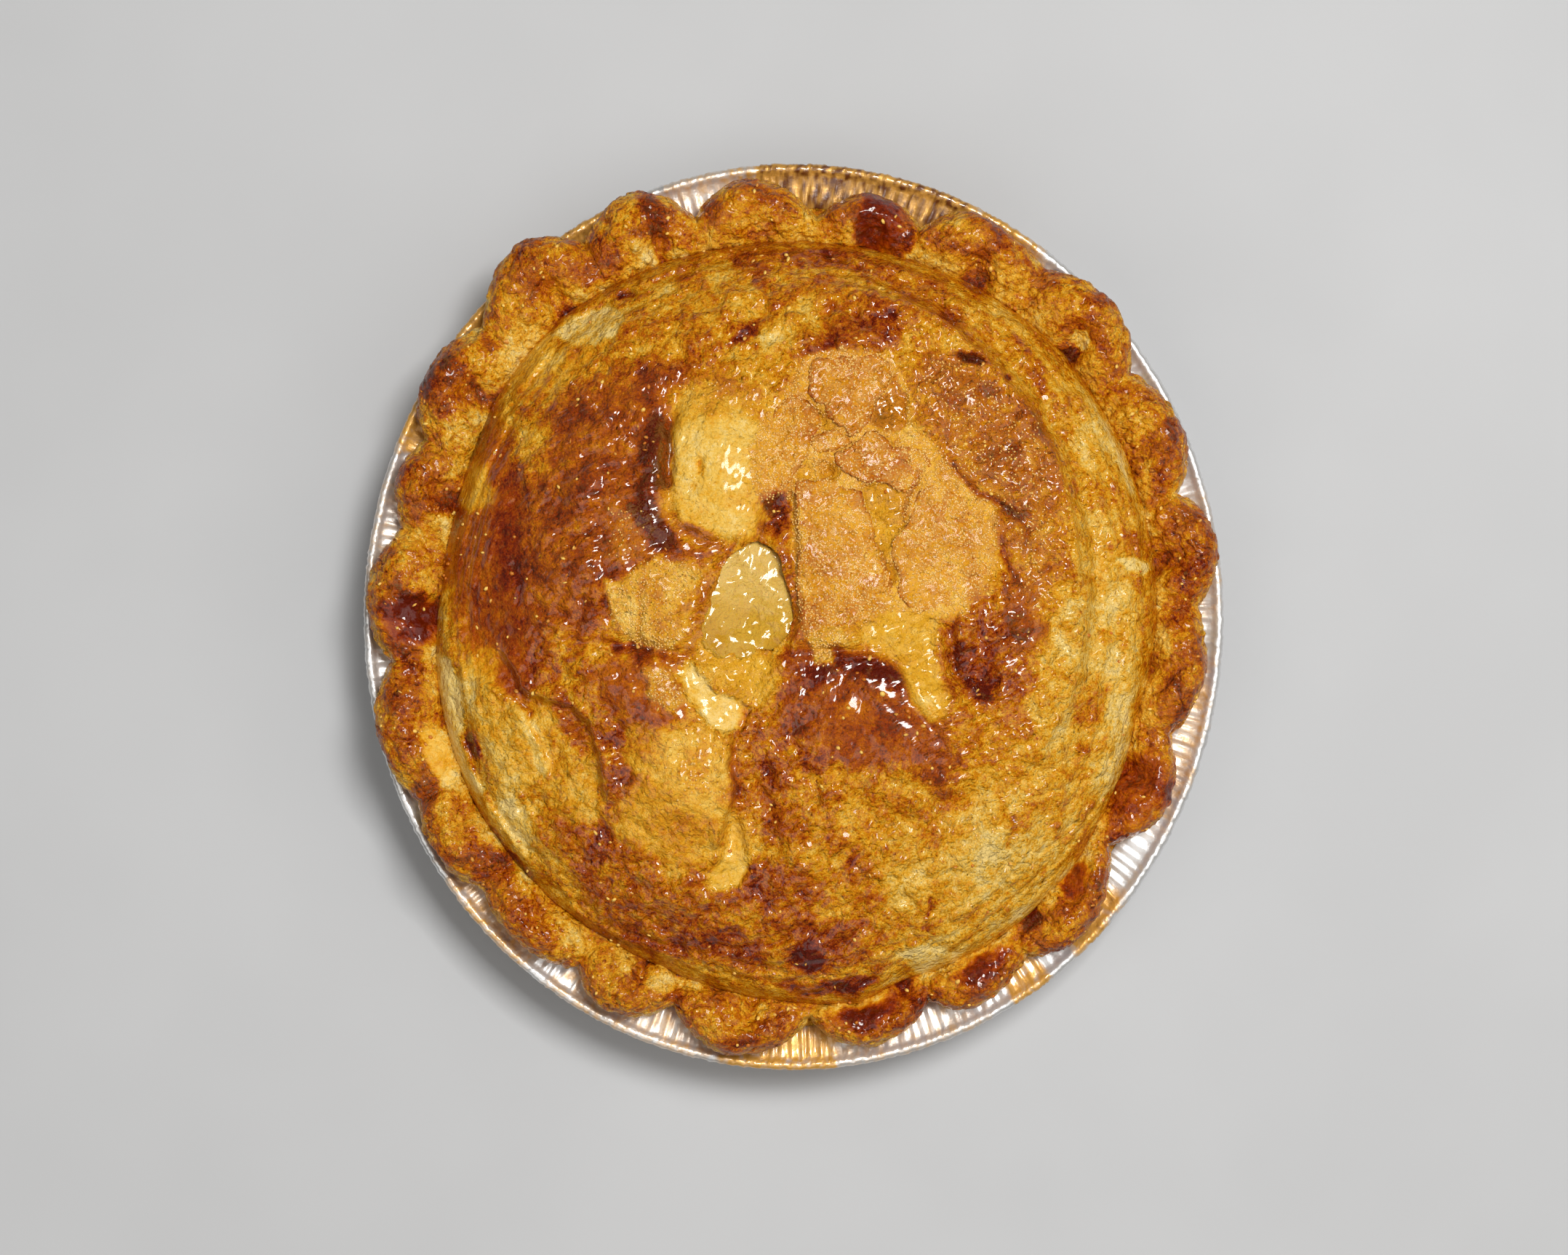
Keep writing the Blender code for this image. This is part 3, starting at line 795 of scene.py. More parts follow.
# Steps in the lid. The left-hand side of each line, seen from its first point to its last,
# is higher by the rise, and the height runs out within the reach on either side.
LEDGES = {
    "shoulder": (((10, 86), (20, 83), (29, 80.5), (40, 74), (52, 63), (58, 55), (63.5, 47), (67.5, 38),
        (70.5, 28), (72.5, 15), (73, 2)), -3.0, 8),
    "lobe fold": (((-16, -27), (-15.5, -33), (-16, -38), (-14.3, -42), (-14.5, -45.5), (-17, -50),
        (-18, -55), (-20, -60)), -3.0, 6),
    "crown front edge": (((-76, -6), (-71, -14), (-68, -20), (-61, -21.5), (-55, -23), (-51, -29),
        (-49.5, -36), (-48, -44), (-47, -50)), 3.0, 7),
    "flake in front": (((-70, -21), (-67, -27), (-64, -32), (-62, -37), (-61.5, -41)), -1.8, 4),
    "swell back edge": (((1, -10.5), (10, -9.5), (21, -9), (27, -14), (30, -21), (38, -31), (43, -38)),
        -2.4, 5),
    "bubble front edge": (((-30.5, 30), (-29.5, 26), (-27, 22.5), (-22, 20), (-15, 19)), 1.5, 4),
    "bubble left edge": (((-29, 52), (-30.5, 46), (-30.5, 38), (-30.8, 30)), 1.4, 4),
    "lip beside the vent": (((-3, 34), (0.5, 30), (1, 18), (1.5, 5), (1, -3), (-2, -9)), 2.4, 5),
    "pool edge": (((41, 2), (40.5, -6), (42, -14), (45.5, -20), (50, -24)), 1.8, 4),
    "torn band": (((64, 74), (72, 64), (80, 50), (85, 38), (89, 22), (91, 10)), -1.3, 4),
    "front left band": (((-90, -8), (-87, -26), (-82, -40), (-73, -55), (-62, -68)), -1.5, 5),
    "front fold": (((-62, -72), (-44, -82), (-24, -87), (-6, -84), (6, -80)), -1.6, 5),
    "far band": (((-60, 74), (-44, 84), (-22, 92), (0, 95), (18, 92)), 0.9, 5),
    "far left lip": (((-85, 12), (-81, 32), (-74, 48), (-66, 62), (-60, 72)), 0.7, 5),
}

# Cracks and creases: the line, half its width, its depth and how much darker it is painted,
# as browning and painted shade in the crack.
CRACKS = {
    "shoulder crack": (((40, 39), (41.2, 36), (44.5, 33), (46, 31), (50, 30), (53, 28), (56, 25.5)),
        0.7, 1.5, 0.30),
    "shoulder crack end": (((56, 25.5), (59, 22), (58, 16)), 0.5, 0.7, 0.18),
    "crack over the plateau": (((52, 21), (53, 15), (57, 8)), 0.6, 0.9, 0.22),
    "short crack": (((38.5, 30.5), (38, 27.5), (36.5, 26)), 0.4, 0.7, 0.2),
    "shorter crack": (((40, 24.4), (43.5, 24.0)), 0.4, 0.7, 0.2),
    "crack in the flaky patch": (((-37, 10), (-39, 5), (-38.2, 1), (-39, -4), (-37.6, -8)), 0.5, 1.0, 0.25),
    "crack beside it": (((-48, 5), (-45.5, 0), (-42, -5), (-39, -8)), 0.5, 0.7, 0.2),
    "front cracks": (((55.5, -50), (55.8, -54), (54, -57), (54.5, -58.5)), 0.45, 0.9, 0.3),
    "far front crack": (((34.3, -71), (35, -74), (34, -76)), 0.45, 0.9, 0.3),
    "far front hole": (((32.6, -79), (34.6, -79.6)), 0.6, 1.3, 0.4),
    "side crack": (((64.8, -63.5), (63.5, -66.5)), 0.4, 0.8, 0.3),
    "side crack end": (((66.5, -56), (69, -57.5)), 0.4, 0.8, 0.25),
    "slit": (((41, 66.2), (45, 65), (48.5, 64.2)), 0.8, 1.6, 0.42),
    "notch on the shoulder": (((53.6, 61), (55, 60.2)), 0.7, 1.2, 0.5),
    "crease on the crown": (((-63, 24), (-60, 21), (-52, 20), (-50.5, 22)), 0.5, 0.7, 0.15),
    "crease on the flank": (((-71, 14), (-69, 8), (-70, 2)), 0.6, 0.8, 0.12),
    "crease at the bubble": (((-14, 20), (-17, 15), (-20, 12)), 0.6, 0.9, 0.2),
    "flake crease": (((-70, -21.5), (-66.5, -24), (-67.5, -27), (-63.5, -32), (-62.5, -37)),
        0.5, 0.9, 0.22),
    "lobe top crease": (((-30, -38.5), (-24, -39), (-18, -38)), 0.5, 0.5, 0.06),
    "far slit": (((-45, 82), (-42, 82.8), (-40.5, 82)), 0.7, 1.2, 0.45),
    "plateau edge crack": (((28, 23), (27.5, 27), (29, 31), (32, 35.5)), 0.5, 0.9, 0.24),
    "plateau middle crack": (((0, 24), (5, 22.5), (8.5, 20.5)), 0.4, 0.7, 0.2),
    "flank slit": (((71, 36), (72, 31), (73.5, 29)), 0.5, 0.8, 0.22),
    "side slit": (((70, 14), (71, 9), (70.5, 4)), 0.5, 0.8, 0.15),
    "front dark dot": (((13.5, -61), (15.5, -61.8)), 1.0, 0.6, 0.35),
}

# How brown the lid is, painted in this order: middle, half sizes, turn in degrees, the
# share over which the edge is soft, and the level from 0, raw and pale, to 1, burnt.
BROWNING = {
    "left flank": (-78, 22, 14, 46, 8, 0.7, 0.67),
    "left lip": (-84, 14, 4, 18, 9, 0.9, 0.64),
    "left lip, back": (-72, 56, 5, 14, 35, 0.8, 0.36),
    "red streak on the flank": (-71, 14, 3.5, 14, 6, 0.9, 0.80),
    "flank front": (-74, -2, 10, 9, 0, 0.8, 0.66),
    "flank front gold": (-80, -14, 8, 6, 20, 0.8, 0.45),
    "front left dark swell": (-68, -14, 7, 6, 0, 0.8, 0.70),
    "crown left gold": (-62, 42, 3.4, 6, 10, 0.8, 0.36),
    "crown middle gold": (-43, 37, 7, 6, 0, 0.9, 0.56),
    "crown brown front": (-50, 11, 12, 9, 0, 0.9, 0.76),
    "crown dark front": (-54, 1, 7, 6, 0, 0.9, 0.87),
    "front gold": (-55, -10, 8, 7, 0, 0.8, 0.45),
    "back left brown": (-40, 61, 14, 5, 10, 0.8, 0.62),
    "far left": (-58, 62, 16, 8, 35, 0.7, 0.48),
    "far left gold": (-66, 64, 6, 10, 35, 0.7, 0.40),
    "far left band": (-46, 83, 16, 3.2, 24, 0.6, 0.44),
    "far gold": (-26, 76, 10, 8, 0, 0.9, 0.46),
    "far dark streak": (-8, 86, 2, 5, 0, 0.9, 0.78),
    "far middle pale": (-8, 66, 9, 7, 0, 0.9, 0.30),
    "far squiggle": (-12, 71.5, 5, 1.7, 38, 0.8, 0.84),
    "far brown rim right": (22, 89, 20, 3.4, -18, 0.7, 0.66),
    "back middle": (6, 78, 14, 6, 0, 0.9, 0.42),
    "back brown cluster": (17, 74, 10, 7, -12, 0.7, 0.64),
    "back dark cluster": (23, 74, 4.6, 4, -30, 0.8, 0.78),
    "lobe left brown": (-46, -34, 4.6, 15, 3, 0.8, 0.66),
    "lobe front": (-37, -56, 12, 7, 0, 0.8, 0.56),
    "lobe front dark": (-48, -60, 5, 9, 0, 0.9, 0.74),
    "front brown": (-40, -72, 20, 8, -22, 0.8, 0.62),
    "front brown dark": (-44, -70, 8, 4, -28, 0.9, 0.64),
    "front streaks": (-22, -84, 34, 5, -6, 0.8, 0.72),
    "front dark streak": (-24, -79, 10, 2.2, -6, 0.9, 0.72),
    "valley brown": (-6, -40, 5, 14, 0, 0.9, 0.66),
    "valley red": (-5, -47, 3.6, 7, 0, 0.9, 0.74),
    "left front red spot": (-82, -33, 1.7, 3.4, 25, 0.6, 0.94),
    "left front gold low": (-64, -60, 8, 8, 40, 0.8, 0.42),
    "swell dark front": (31, -31, 7, 5, -30, 0.9, 0.72),
    "swell front": (37, -38, 8, 4, 0, 0.8, 0.42),
    "middle front": (12, -48, 16, 8, 0, 0.8, 0.44),
    "middle front brown": (2, -54, 8, 8, 0, 0.9, 0.55),
    "beyond the pit red": (57, -1, 4, 6, 0, 0.8, 0.82),
    "right brown": (60, 14, 7, 12, 0, 0.8, 0.66),
    "right gold": (64, -26, 12, 20, 0, 0.8, 0.30),
    "shoulder pink": (39, 54, 6, 8, 20, 0.8, 0.50),
    "shoulder dark": (55.5, 38, 5, 7, 0, 0.8, 0.82),
    "shoulder brown edge": (62, 45, 3.4, 14, 24, 0.7, 0.70),
    "shoulder far edge": (36, 78, 12, 3, -28, 0.8, 0.62),
    # painted shade in the slit in the shoulder
    "slit": (45, 65, 4.6, 1.7, -10, 0.7, 0.84),
    "beside the slit": (44, 60.5, 4, 2, -10, 0.8, 0.34),
    "band far": (58, 66, 7, 14, 42, 0.8, 0.42),
    "band pale": (78, 42, 6, 9, 20, 0.6, 0.26),
    "band right": (77, 18, 6, 16, 4, 0.8, 0.29),
    "band front cream": (84, -24, 4, 16, -4, 0.6, 0.20),
    "band front amber": (75, -24, 4, 12, 0, 0.9, 0.40),
    "right front cream": (80, -39, 6, 6, 0, 0.7, 0.16),
    "front right": (50, -66, 24, 22, 30, 0.8, 0.29),
    "front right pale": (54, -62, 9, 7, 20, 0.7, 0.17),
    "front middle gold": (11, -68, 10, 6, 10, 0.9, 0.57),
    "front middle brown": (0, -78, 8, 5, 0, 0.9, 0.70),
    "back gold": (10, 66, 9, 4, 0, 0.9, 0.74),
    "far left pale": (-17, 77, 5, 4, 0, 0.9, 0.26),
    "front middle dark": (14, -82, 9, 5, 0, 0.9, 0.72),
    "front of the valley": (-8, -68, 12, 7, 0, 0.9, 0.68),
    "front right cream spot": (38, -64, 8, 6, 0, 0.9, 0.24),
    "beyond the pit": (56, -15, 5, 7, 0, 0.9, 0.70),
    "plateau's back edge": (24, 48, 4, 6, 0, 0.9, 0.52),
    "left gold": (-82, 33, 5, 6, 0, 0.9, 0.42),
    "right pale": (73, -4, 6, 12, 0, 0.9, 0.24),
    "left flank, front": (-81, -21, 4, 7, 20, 0.9, 0.24),
    "beside the pool": (40, -10, 3.6, 14, 0, 0.9, 0.62),
    "right of the swell": (55, -27, 6, 5, 0, 0.9, 0.52),
    "swell knee": (5, -35, 5, 4, 0, 0.9, 0.74),
    "front of the swell": (41, -46, 6, 3, 0, 0.9, 0.56),
    "front of the lobe": (-22, -72, 8, 4, 0, 0.9, 0.62),
    "right flank, middle": (82, -6, 6, 14, 0, 0.9, 0.22),
}

# Patches with an outline of their own, painted over the rest in this order: the outline,
# how far its edge is soft, how baked, sugared, juicy and smooth it is, and its rise.
REGIONS = {
    "crown": (((-62, 52), (-56, 57), (-45, 59), (-36, 63), (-29, 61), (-30, 52), (-31, 44), (-31, 34),
        (-31, 27), (-29, 22), (-25, 19), (-19, 17), (-22, 13), (-30, 13), (-34, 16), (-40, 12), (-47, 9),
        (-50, 2), (-48, -5), (-54, -6), (-60, -3), (-65, -6), (-67, 6), (-67, 20), (-65, 34), (-63, 44)),
        7, 0.72, 0.1, 0.0, 0.22, 0.3),
    # Painted highlight: the crown's sheen is painted as a paler, sugared patch.
    "crown sheen": (((-47, 16), (-46, 27), (-41, 30), (-37, 24), (-38, 15)), 5, 0.60, 0.35, 0.0, 0.3, 0.5),
    "flaky patch": (((-48, 10), (-43, 8), (-38, 13), (-34, 15.5), (-31, 14), (-27, 13), (-22, 11),
        (-20.5, 8), (-21, 5), (-26, 1), (-25, -4), (-29, -7), (-33, -9.5), (-38, -8), (-42, -5), (-45, -2),
        (-46.5, 3)), 2.0, 0.33, 0.6, 0.0, 0.1, 0.6),
    "brown beside the vent": (((-25, 3), (-21, 5), (-20, 0), (-21, -6), (-25, -10), (-30, -9), (-27, -4)),
        3.0, 0.55, 0.1, 0.1, 0.0, 0.0),
    "bubble rim": (((-12, 15), (-17, 17), (-22, 19), (-28, 21), (-33, 26), (-33, 38), (-33, 47), (-29, 53),
        (-20, 55), (-12, 53), (-5, 48), (-7, 36), (-6, 27)), 3, 0.40, 0.1, 0.6, 0.3, 0.2),
    "bubble": (((-14, 18), (-15.5, 20), (-20, 21.5), (-25, 21.5), (-27, 23.5), (-30, 25.5), (-31, 29),
        (-30.3, 33), (-29.8, 38), (-30.3, 42), (-29.8, 45), (-28, 48), (-24.5, 50.5), (-20, 52),
        (-15, 51.5), (-10, 49.5), (-7, 47), (-9, 44), (-9.5, 36), (-9, 32), (-7.5, 28.5), (-9, 25),
        (-10.5, 21), (-12.5, 19)), 1.8, 0.24, 0.1, 0.25, 0.55, 0.7),
    "behind the bubble": (((-28, 50), (-26, 57), (-20, 61), (-14, 58), (-8, 58), (-5, 52), (-10, 50),
        (-18, 52)), 5, 0.46, 0.3, 0.2, 0.2, 0.0),
    "second pale patch": (((-30.5, -12.5), (-26.5, -12), (-23, -15), (-20, -19), (-15, -20), (-11, -23),
        (-12, -28), (-18, -29), (-22, -26), (-25, -23), (-27, -19), (-29, -15)),
        1.4, 0.16, 0.0, 0.3, 0.7, -0.3),
    "front crown": (((-50, -12), (-46, -9), (-38, -10), (-31, -10), (-29, -14), (-27, -19), (-25, -23),
        (-26, -27), (-34, -28), (-42, -26), (-48, -21)), 4, 0.68, 0.1, 0.0, 0.4, 0.5),
    # Sugar and painted highlight: the lump is painted paler where it shines.
    "sugared lump and painted highlight": (((-37, -13), (-32, -12), (-29, -15), (-27, -20), (-31, -24), (-36, -20)),
        2.5, 0.46, 0.6, 0.0, 0.0, 0.5),
    "wet rim": (((-26, 8), (-22, 12), (-17, 18), (-13, 20), (-15, 10), (-12, -4), (-6, -10), (-12, -15),
        (-20, -13), (-27, -7), (-28, 2)), 3, 0.52, 0.0, 0.4, 0.2, -0.3),
    "wet valley": (((-21, -6), (-16, -9), (-8, -9), (-5, -11), (-5, -16), (-8, -21), (-13, -20), (-18, -17),
        (-22, -13), (-24, -8)), 3, 0.40, 0.0, 0.85, 0.4, 0.0),
    "lobe": (((-39, -28), (-30, -30), (-22, -29), (-16, -31), (-15.5, -36), (-14.5, -42), (-15, -47),
        (-18, -51), (-19, -56), (-22, -62), (-30, -64), (-38, -60), (-44, -55), (-45, -48), (-42, -42),
        (-42, -34)), 3, 0.43, 0.1, 0.15, 0.35, 0.4),
    "lobe top": (((-33, -30), (-20, -30), (-16, -36), (-16, -46), (-24, -50), (-30, -44), (-33, -37)),
        5, 0.33, 0.3, 0.0, 0.35, 0.3),
    "pale pools": (((-16, -50), (-13, -52), (-12, -58), (-11, -62), (-14, -68), (-20, -69), (-23, -65),
        (-19, -62), (-17, -58)), 2.5, 0.26, 0.0, 0.6, 0.6, -0.4),
    "front left hollow": (((-70, -21), (-62, -21), (-57, -23), (-53, -29), (-50, -34), (-48, -42),
        (-50, -50), (-57, -52), (-62, -44), (-64, -38), (-66, -30)), 3, 0.37, 0.0, 0.1, 0.2, 0.0),
    "left flake": (((-80, -16), (-74, -19), (-69, -22), (-65, -27), (-62, -33), (-61, -38), (-63, -41),
        (-68, -43), (-74, -43), (-79, -36), (-82, -26)), 1.2, 0.36, 0.0, 0.0, 0.3, 0.7),
    "left flake edge": (((-70, -23), (-66, -26), (-62, -33), (-61.5, -38), (-63.5, -41), (-66, -36),
        (-68, -29)), 1.6, 0.16, 0.0, 0.0, 0.5, 0.0),
    "left cream band": (((-92, -9), (-88, -11), (-85, -17), (-84, -24), (-86, -32), (-84, -38), (-79, -44),
        (-81, -47), (-87, -39), (-90, -30), (-93, -20)), 1.4, 0.14, 0.0, 0.0, 0.5, 0.4),
    "torn cream": (((-80, -47), (-74, -45), (-70, -48), (-66, -49), (-66, -58), (-70, -61), (-74, -56),
        (-79, -51)), 2, 0.22, 0.0, 0.0, 0.3, 0.3),
    "torn cream spot": (((-75, -47), (-71, -46), (-70, -49), (-72, -52), (-76, -50)),
        0.8, 0.02, 0.0, 0.0, 0.2, 0.4),
    "far left torn": (((-63, 73), (-58, 76), (-52, 79), (-47, 80), (-43, 76), (-46, 71), (-51, 69),
        (-57, 70)), 1.2, 0.12, 0.0, 0.0, 0.2, -0.7),
    "shoulder": (((29, 60), (33, 65), (42, 67), (52, 61), (58, 53), (63, 45), (66, 36), (67, 26), (66, 16),
        (64, 8), (63, -5), (58, -8), (54, 0), (56, 8), (55, 14), (53, 20), (52, 27), (46, 32), (41, 36),
        (38, 42), (33, 45), (30, 51)), 4, 0.61, 0.35, 0.0, 0.0, 0.4),
    "plateau": (((-11, 36), (-8, 29), (-5, 29), (-2, 32), (0, 24), (1, 12), (2, -3), (14, -2), (24, 0),
        (40, 0), (47, 5), (51, 14), (51, 27), (45, 31), (40, 37), (36, 43), (31, 46), (29, 52), (28, 60),
        (24, 66), (12, 68), (3, 66), (-2, 56), (-8, 50), (-11, 43)), 2.5, 0.42, 0.85, 0.0, 0.35, 0.0),
    "plateau left": (((1, 22), (9, 22), (13, 14), (12, 4), (20, 0), (14, -4), (3, -4), (1, 8)),
        5, 0.46, 0.6, 0.0, 0.2, 0.0),
    "plateau pale": (((12, 28), (16, 31), (20, 24), (24, 14), (34, 12), (44, 8), (42, 2), (26, 2),
        (16, 10)), 5, 0.33, 0.6, 0.1, 0.5, 0.0),
    "plateau gap": (((17, 33), (21, 33.5), (25, 32.5), (26.5, 31.5), (28.5, 31.5), (27, 27), (28.5, 23),
        (26, 20.5), (24, 17), (23, 14.5), (25.5, 11), (26, 8.5), (24.3, 7.5), (23.6, 11), (21.5, 15),
        (19.5, 20), (20, 24), (18, 27)), 0.8, 0.5, 0.0, 0.8, 0.2, -1.3),
    "flake gap": (((20.5, 54), (20, 50.5), (19.5, 48), (22, 47), (24, 47), (26.5, 46.5), (27, 44), (25, 43),
        (29, 49), (28, 56), (26, 61), (24.6, 60), (23.5, 56.5)), 0.8, 0.66, 0.0, 0.4, 0.2, -0.9),
    "small gap": (((5, 35.5), (8, 37), (9.5, 38.5), (11.5, 36), (11, 34), (8, 34.5), (1, 35), (0, 34),
        (3, 40)), 0.8, 0.5, 0.0, 0.8, 0.2, -0.9),
    "gap before the flake": (((4, 54), (6.5, 52), (8, 49.5), (10.5, 47.5), (8, 46), (6.5, 48.5)),
        0.8, 0.5, 0.0, 0.8, 0.2, -0.9),
    "swell": (((1, -4), (6, -4), (14, -8), (21, -8.5), (26, -11.5), (29, -18), (31, -24), (36, -26),
        (40, -31), (42, -38), (36, -43), (28, -37), (20, -38), (13, -39), (8, -34), (0, -31), (-4, -24),
        (-2, -14)), 3, 0.70, 0.1, 0.0, 0.28, 0.4),
    "swell back": (((6, -8), (14, -9), (21, -9), (26, -13), (28, -19), (22, -17), (12, -14), (4, -19),
        (1, -14)), 2, 0.86, 0.0, 0.0, 0.4, 0.0),
    # Sugar and painted highlight: the lip is painted paler where it shines.
    "sugared lip and painted highlight": (((2, -2), (8, -2), (14, -4), (14, -8), (9, -7), (10, -12), (5, -12), (4, -7)),
        1.6, 0.40, 0.75, 0.0, 0.0, 0.5),
    "pool": (((17, -2), (24, 1), (33, 1), (36, -2), (35, -8), (37, -14), (39, -20), (38, -25), (34, -26),
        (31, -23), (28, -17), (26, -12), (21, -8), (17, -7)), 2.5, 0.37, 0.0, 0.8, 0.4, -0.3),
    "pool pale": (((31, -20), (36, -19), (37, -24), (34, -26.5), (31.5, -24)),
        1.5, 0.24, 0.0, 0.2, 0.5, 0.0),
    "pit": (((45, 5), (50, 5), (53, -2), (52, -8), (51, -16), (50, -22), (46, -20), (42, -14), (41, -8),
        (45, -4)), 3, 0.72, 0.0, 0.0, 0.0, -0.5),
    "pit bottom": (((43, -9), (48, -8), (51, -12), (51, -17), (47, -18), (44, -14)),
        2, 0.84, 0.0, 0.0, 0.1, -0.3),
    "beyond the pit": (((54, 6), (59, 7), (61, 0), (60, -7), (56, -8), (54, -3)),
        3, 0.74, 0.2, 0.0, 0.3, 0.4),
    "front right cream": (((27, -86), (33, -83), (40, -86), (45, -84), (41, -91), (33, -93)),
        1.5, 0.12, 0.0, 0.0, 0.2, 0.4),
    "band cream": (((81, 52), (85, 47), (87, 38), (88, 30), (85, 34), (83, 42), (80, 48)),
        1.4, 0.16, 0.0, 0.0, 0.2, 0.3),
    "band right cream": (((82, 15), (87, 15), (91, 13), (90, 11), (85, 12)), 1.0, 0.08, 0.0, 0.0, 0.3, 0.4),
    "front edge cream": (((56, -78), (61, -76), (67, -70), (72, -64), (70, -63), (64, -69), (58, -74)),
        1.5, 0.20, 0.0, 0.0, 0.2, 0.3),
    "glossy spot": (((1, -84), (4, -82), (7, -83.5), (8.5, -87), (7, -89.5), (4, -91), (1, -89),
        (-0.5, -86.5)), 2.4, 0.93, 0.0, 0.0, 0.3, 0.3),
    "front dark edge": (((-8, -92), (4, -94), (16, -91), (22, -92), (16, -97), (0, -98)),
        2.5, 0.76, 0.0, 0.0, 0.2, 0.0),
}

# Darker lines: the line, half its width and how baked it is. Most are browning; the lobe
# shadow, the left seam and the line under the flaky patch are painted shade.
STREAKS = {
    "crown ridge": (((-33, 51), (-34, 46), (-37, 42), (-35, 36), (-36, 31), (-39, 27.5), (-36, 24),
        (-33, 20), (-32, 16)), 2.8, 0.98),
    "pock": (((-23.3, 39.6), (-22.9, 35.4)), 0.9, 0.52),
    "small pock": (((-26, 32.4), (-24.4, 32.2)), 0.7, 0.48),
    "dark spots on the shoulder": (((55, 43), (57, 37), (56, 31)), 2.6, 0.82),
    "beside the bubble": (((-31, 50), (-32, 44), (-31.5, 38), (-32, 32)), 1.0, 0.84),
    "under the bubble": (((-31, 26), (-28, 22.5), (-22, 19.5), (-16, 17)), 1.5, 0.66),
    "vent lip": (((-10, 22), (-6, 23), (-3, 20), (-2, 14), (0, 8), (1, 2), (0, -5), (-3, -9)), 1.4, 0.66),
    "pit behind the vent": (((-8, 27), (-4, 29), (-3, 24), (-7, 21)), 2.6, 0.84),
    # Painted shadow under the raised edge of the flaky patch.
    "under the flaky patch": (((-46, -7), (-41, -8), (-37, -10), (-31, -9)), 1.8, 0.86),
    "pit edge": (((41, -7), (42, -12), (45, -17), (50, -22)), 1.2, 0.84),
    "far rim": (((-44, 87), (-22, 93), (0, 95), (20, 91), (36, 84)), 2.0, 0.58),
    "far rim dark": (((-16, 91), (-2, 92.5), (10, 91.5)), 2.2, 0.80),
    "valley": (((-9, -22), (-12, -34), (-13, -44), (-14, -50)), 3.0, 0.53),
    "lobe shadow": (((-15, -32), (-14, -40), (-14, -46)), 1.0, 0.70),
    "under the left flake": (((-62, -4), (-60.5, -16), (-55, -29), (-46, -38), (-38, -41)), 2.6, 0.70),
    # Painted shade in the gap between the lid and the edge.
    "shade in the left seam": (((-93, -20), (-90, -34), (-85, -46), (-77, -57), (-66, -69)), 1.3, 0.88),
    "right of the vent": (((-1, -8), (0, -15), (-2, -22)), 3.4, 0.78),
    "plateau's right edge": (((36, 37), (42, 28), (44.5, 15), (45, 3)), 1.8, 0.54),
    "behind the vent": (((-27, -6), (-22, 8), (-16, 17), (-6, 20)), 1.2, 0.52),
}

# Where the crust is smooth, beyond what the outlines say.
SMOOTH = {
    "left flank": (-79, 18, 12, 46, 8, 0.5, 0.72),
    "right band": (82, 0, 8, 40, 0, 0.7, 0.10),
    "far left": (-62, 66, 12, 8, 40, 0.7, 0.5),
}

# The outline of the opening in the lid.
STEAM_VENT = (
    (-12.5, 17.5), (-9, 19), (-6, 17.5), (-3.4, 14.5), (-2.2, 10), (-0.6, 4.5), (0, 0),
    (-1, -4), (-3.4, -7), (-6, -8.6), (-9.4, -8), (-12, -9.8), (-15, -8.4), (-18, -9), (-21, -6.6),
    (-21.6, -2.5), (-20.4, 1), (-21, 5), (-19, 8.5), (-18.2, 12), (-15.8, 15.4)
)


# ---- Lid: drawing with the tables -------------------------------------------------------------------


def patch_sides(places, middle_x, middle_y, half_x, half_y, turn):
    """How far each place lies along and across a turned patch, in its half sizes."""
    cosine = math.cos(math.radians(turn))
    sine = math.sin(math.radians(turn))
    along = ((places[:, 0] - middle_x) * cosine + (places[:, 1] - middle_y) * sine) / half_x
    across = ((places[:, 1] - middle_y) * cosine - (places[:, 0] - middle_x) * sine) / half_y
    return along, across


def paint_levels(places, table, start, ruggedness=0.0):
    """Paints a table's patches one over the other, from a start level."""
    level = np.full(len(places), float(start))
    for *patch, soft, value in table.values():
        away = np.hypot(*patch_sides(places, *patch))
        level += (value - level) * ease((1 + soft / 2 - away - ruggedness) / soft)
    return level


def bumps_height(places, table):
    """The summed height of a table's round bumps and hollows."""
    height = np.zeros(len(places))
    for *patch, rise in table.values():
        along, across = patch_sides(places, *patch)
        height += rise * np.exp(-(along**2 + across**2))
    return height


def past_edge(places, start, end):
    """The way from an edge's start to its end, how far each place is from it, and the share along."""
    edge = end - start
    part = np.clip(((places - start) @ edge) / (edge @ edge), 0, 1)
    gap = places - start - part[:, None] * edge
    return edge, np.hypot(gap[:, 0], gap[:, 1]), part


def beside_line(places, line):
    """The distance to a line, 1 on its left or -1 on its right, and 0 to 1 along it."""
    corners = np.array(line, float)
    steps = np.linalg.norm(np.diff(corners, axis=0), axis=1)
    before = np.concatenate(([0], np.cumsum(steps)))
    nearest = np.full(len(places), np.inf)
    side = np.ones(len(places))
    along = np.zeros(len(places))
    for index, (start, end) in enumerate(zip(corners, corners[1:])):
        edge, distance, part = past_edge(places, start, end)
        closer = distance < nearest
        nearest = np.where(closer, distance, nearest)
        cross = edge[0] * (places[:, 1] - start[1]) - edge[1] * (places[:, 0] - start[0])
        side = np.where(closer, np.where(cross > 0, 1.0, -1.0), side)
        along = np.where(closer, (before[index] + part * steps[index]) / before[-1], along)
    return nearest, side, along


def taper(along, run, start=0.0):
    """Lets what a line draws run out towards both its ends."""
    return ease(np.minimum(along, 1 - along) / run + start)


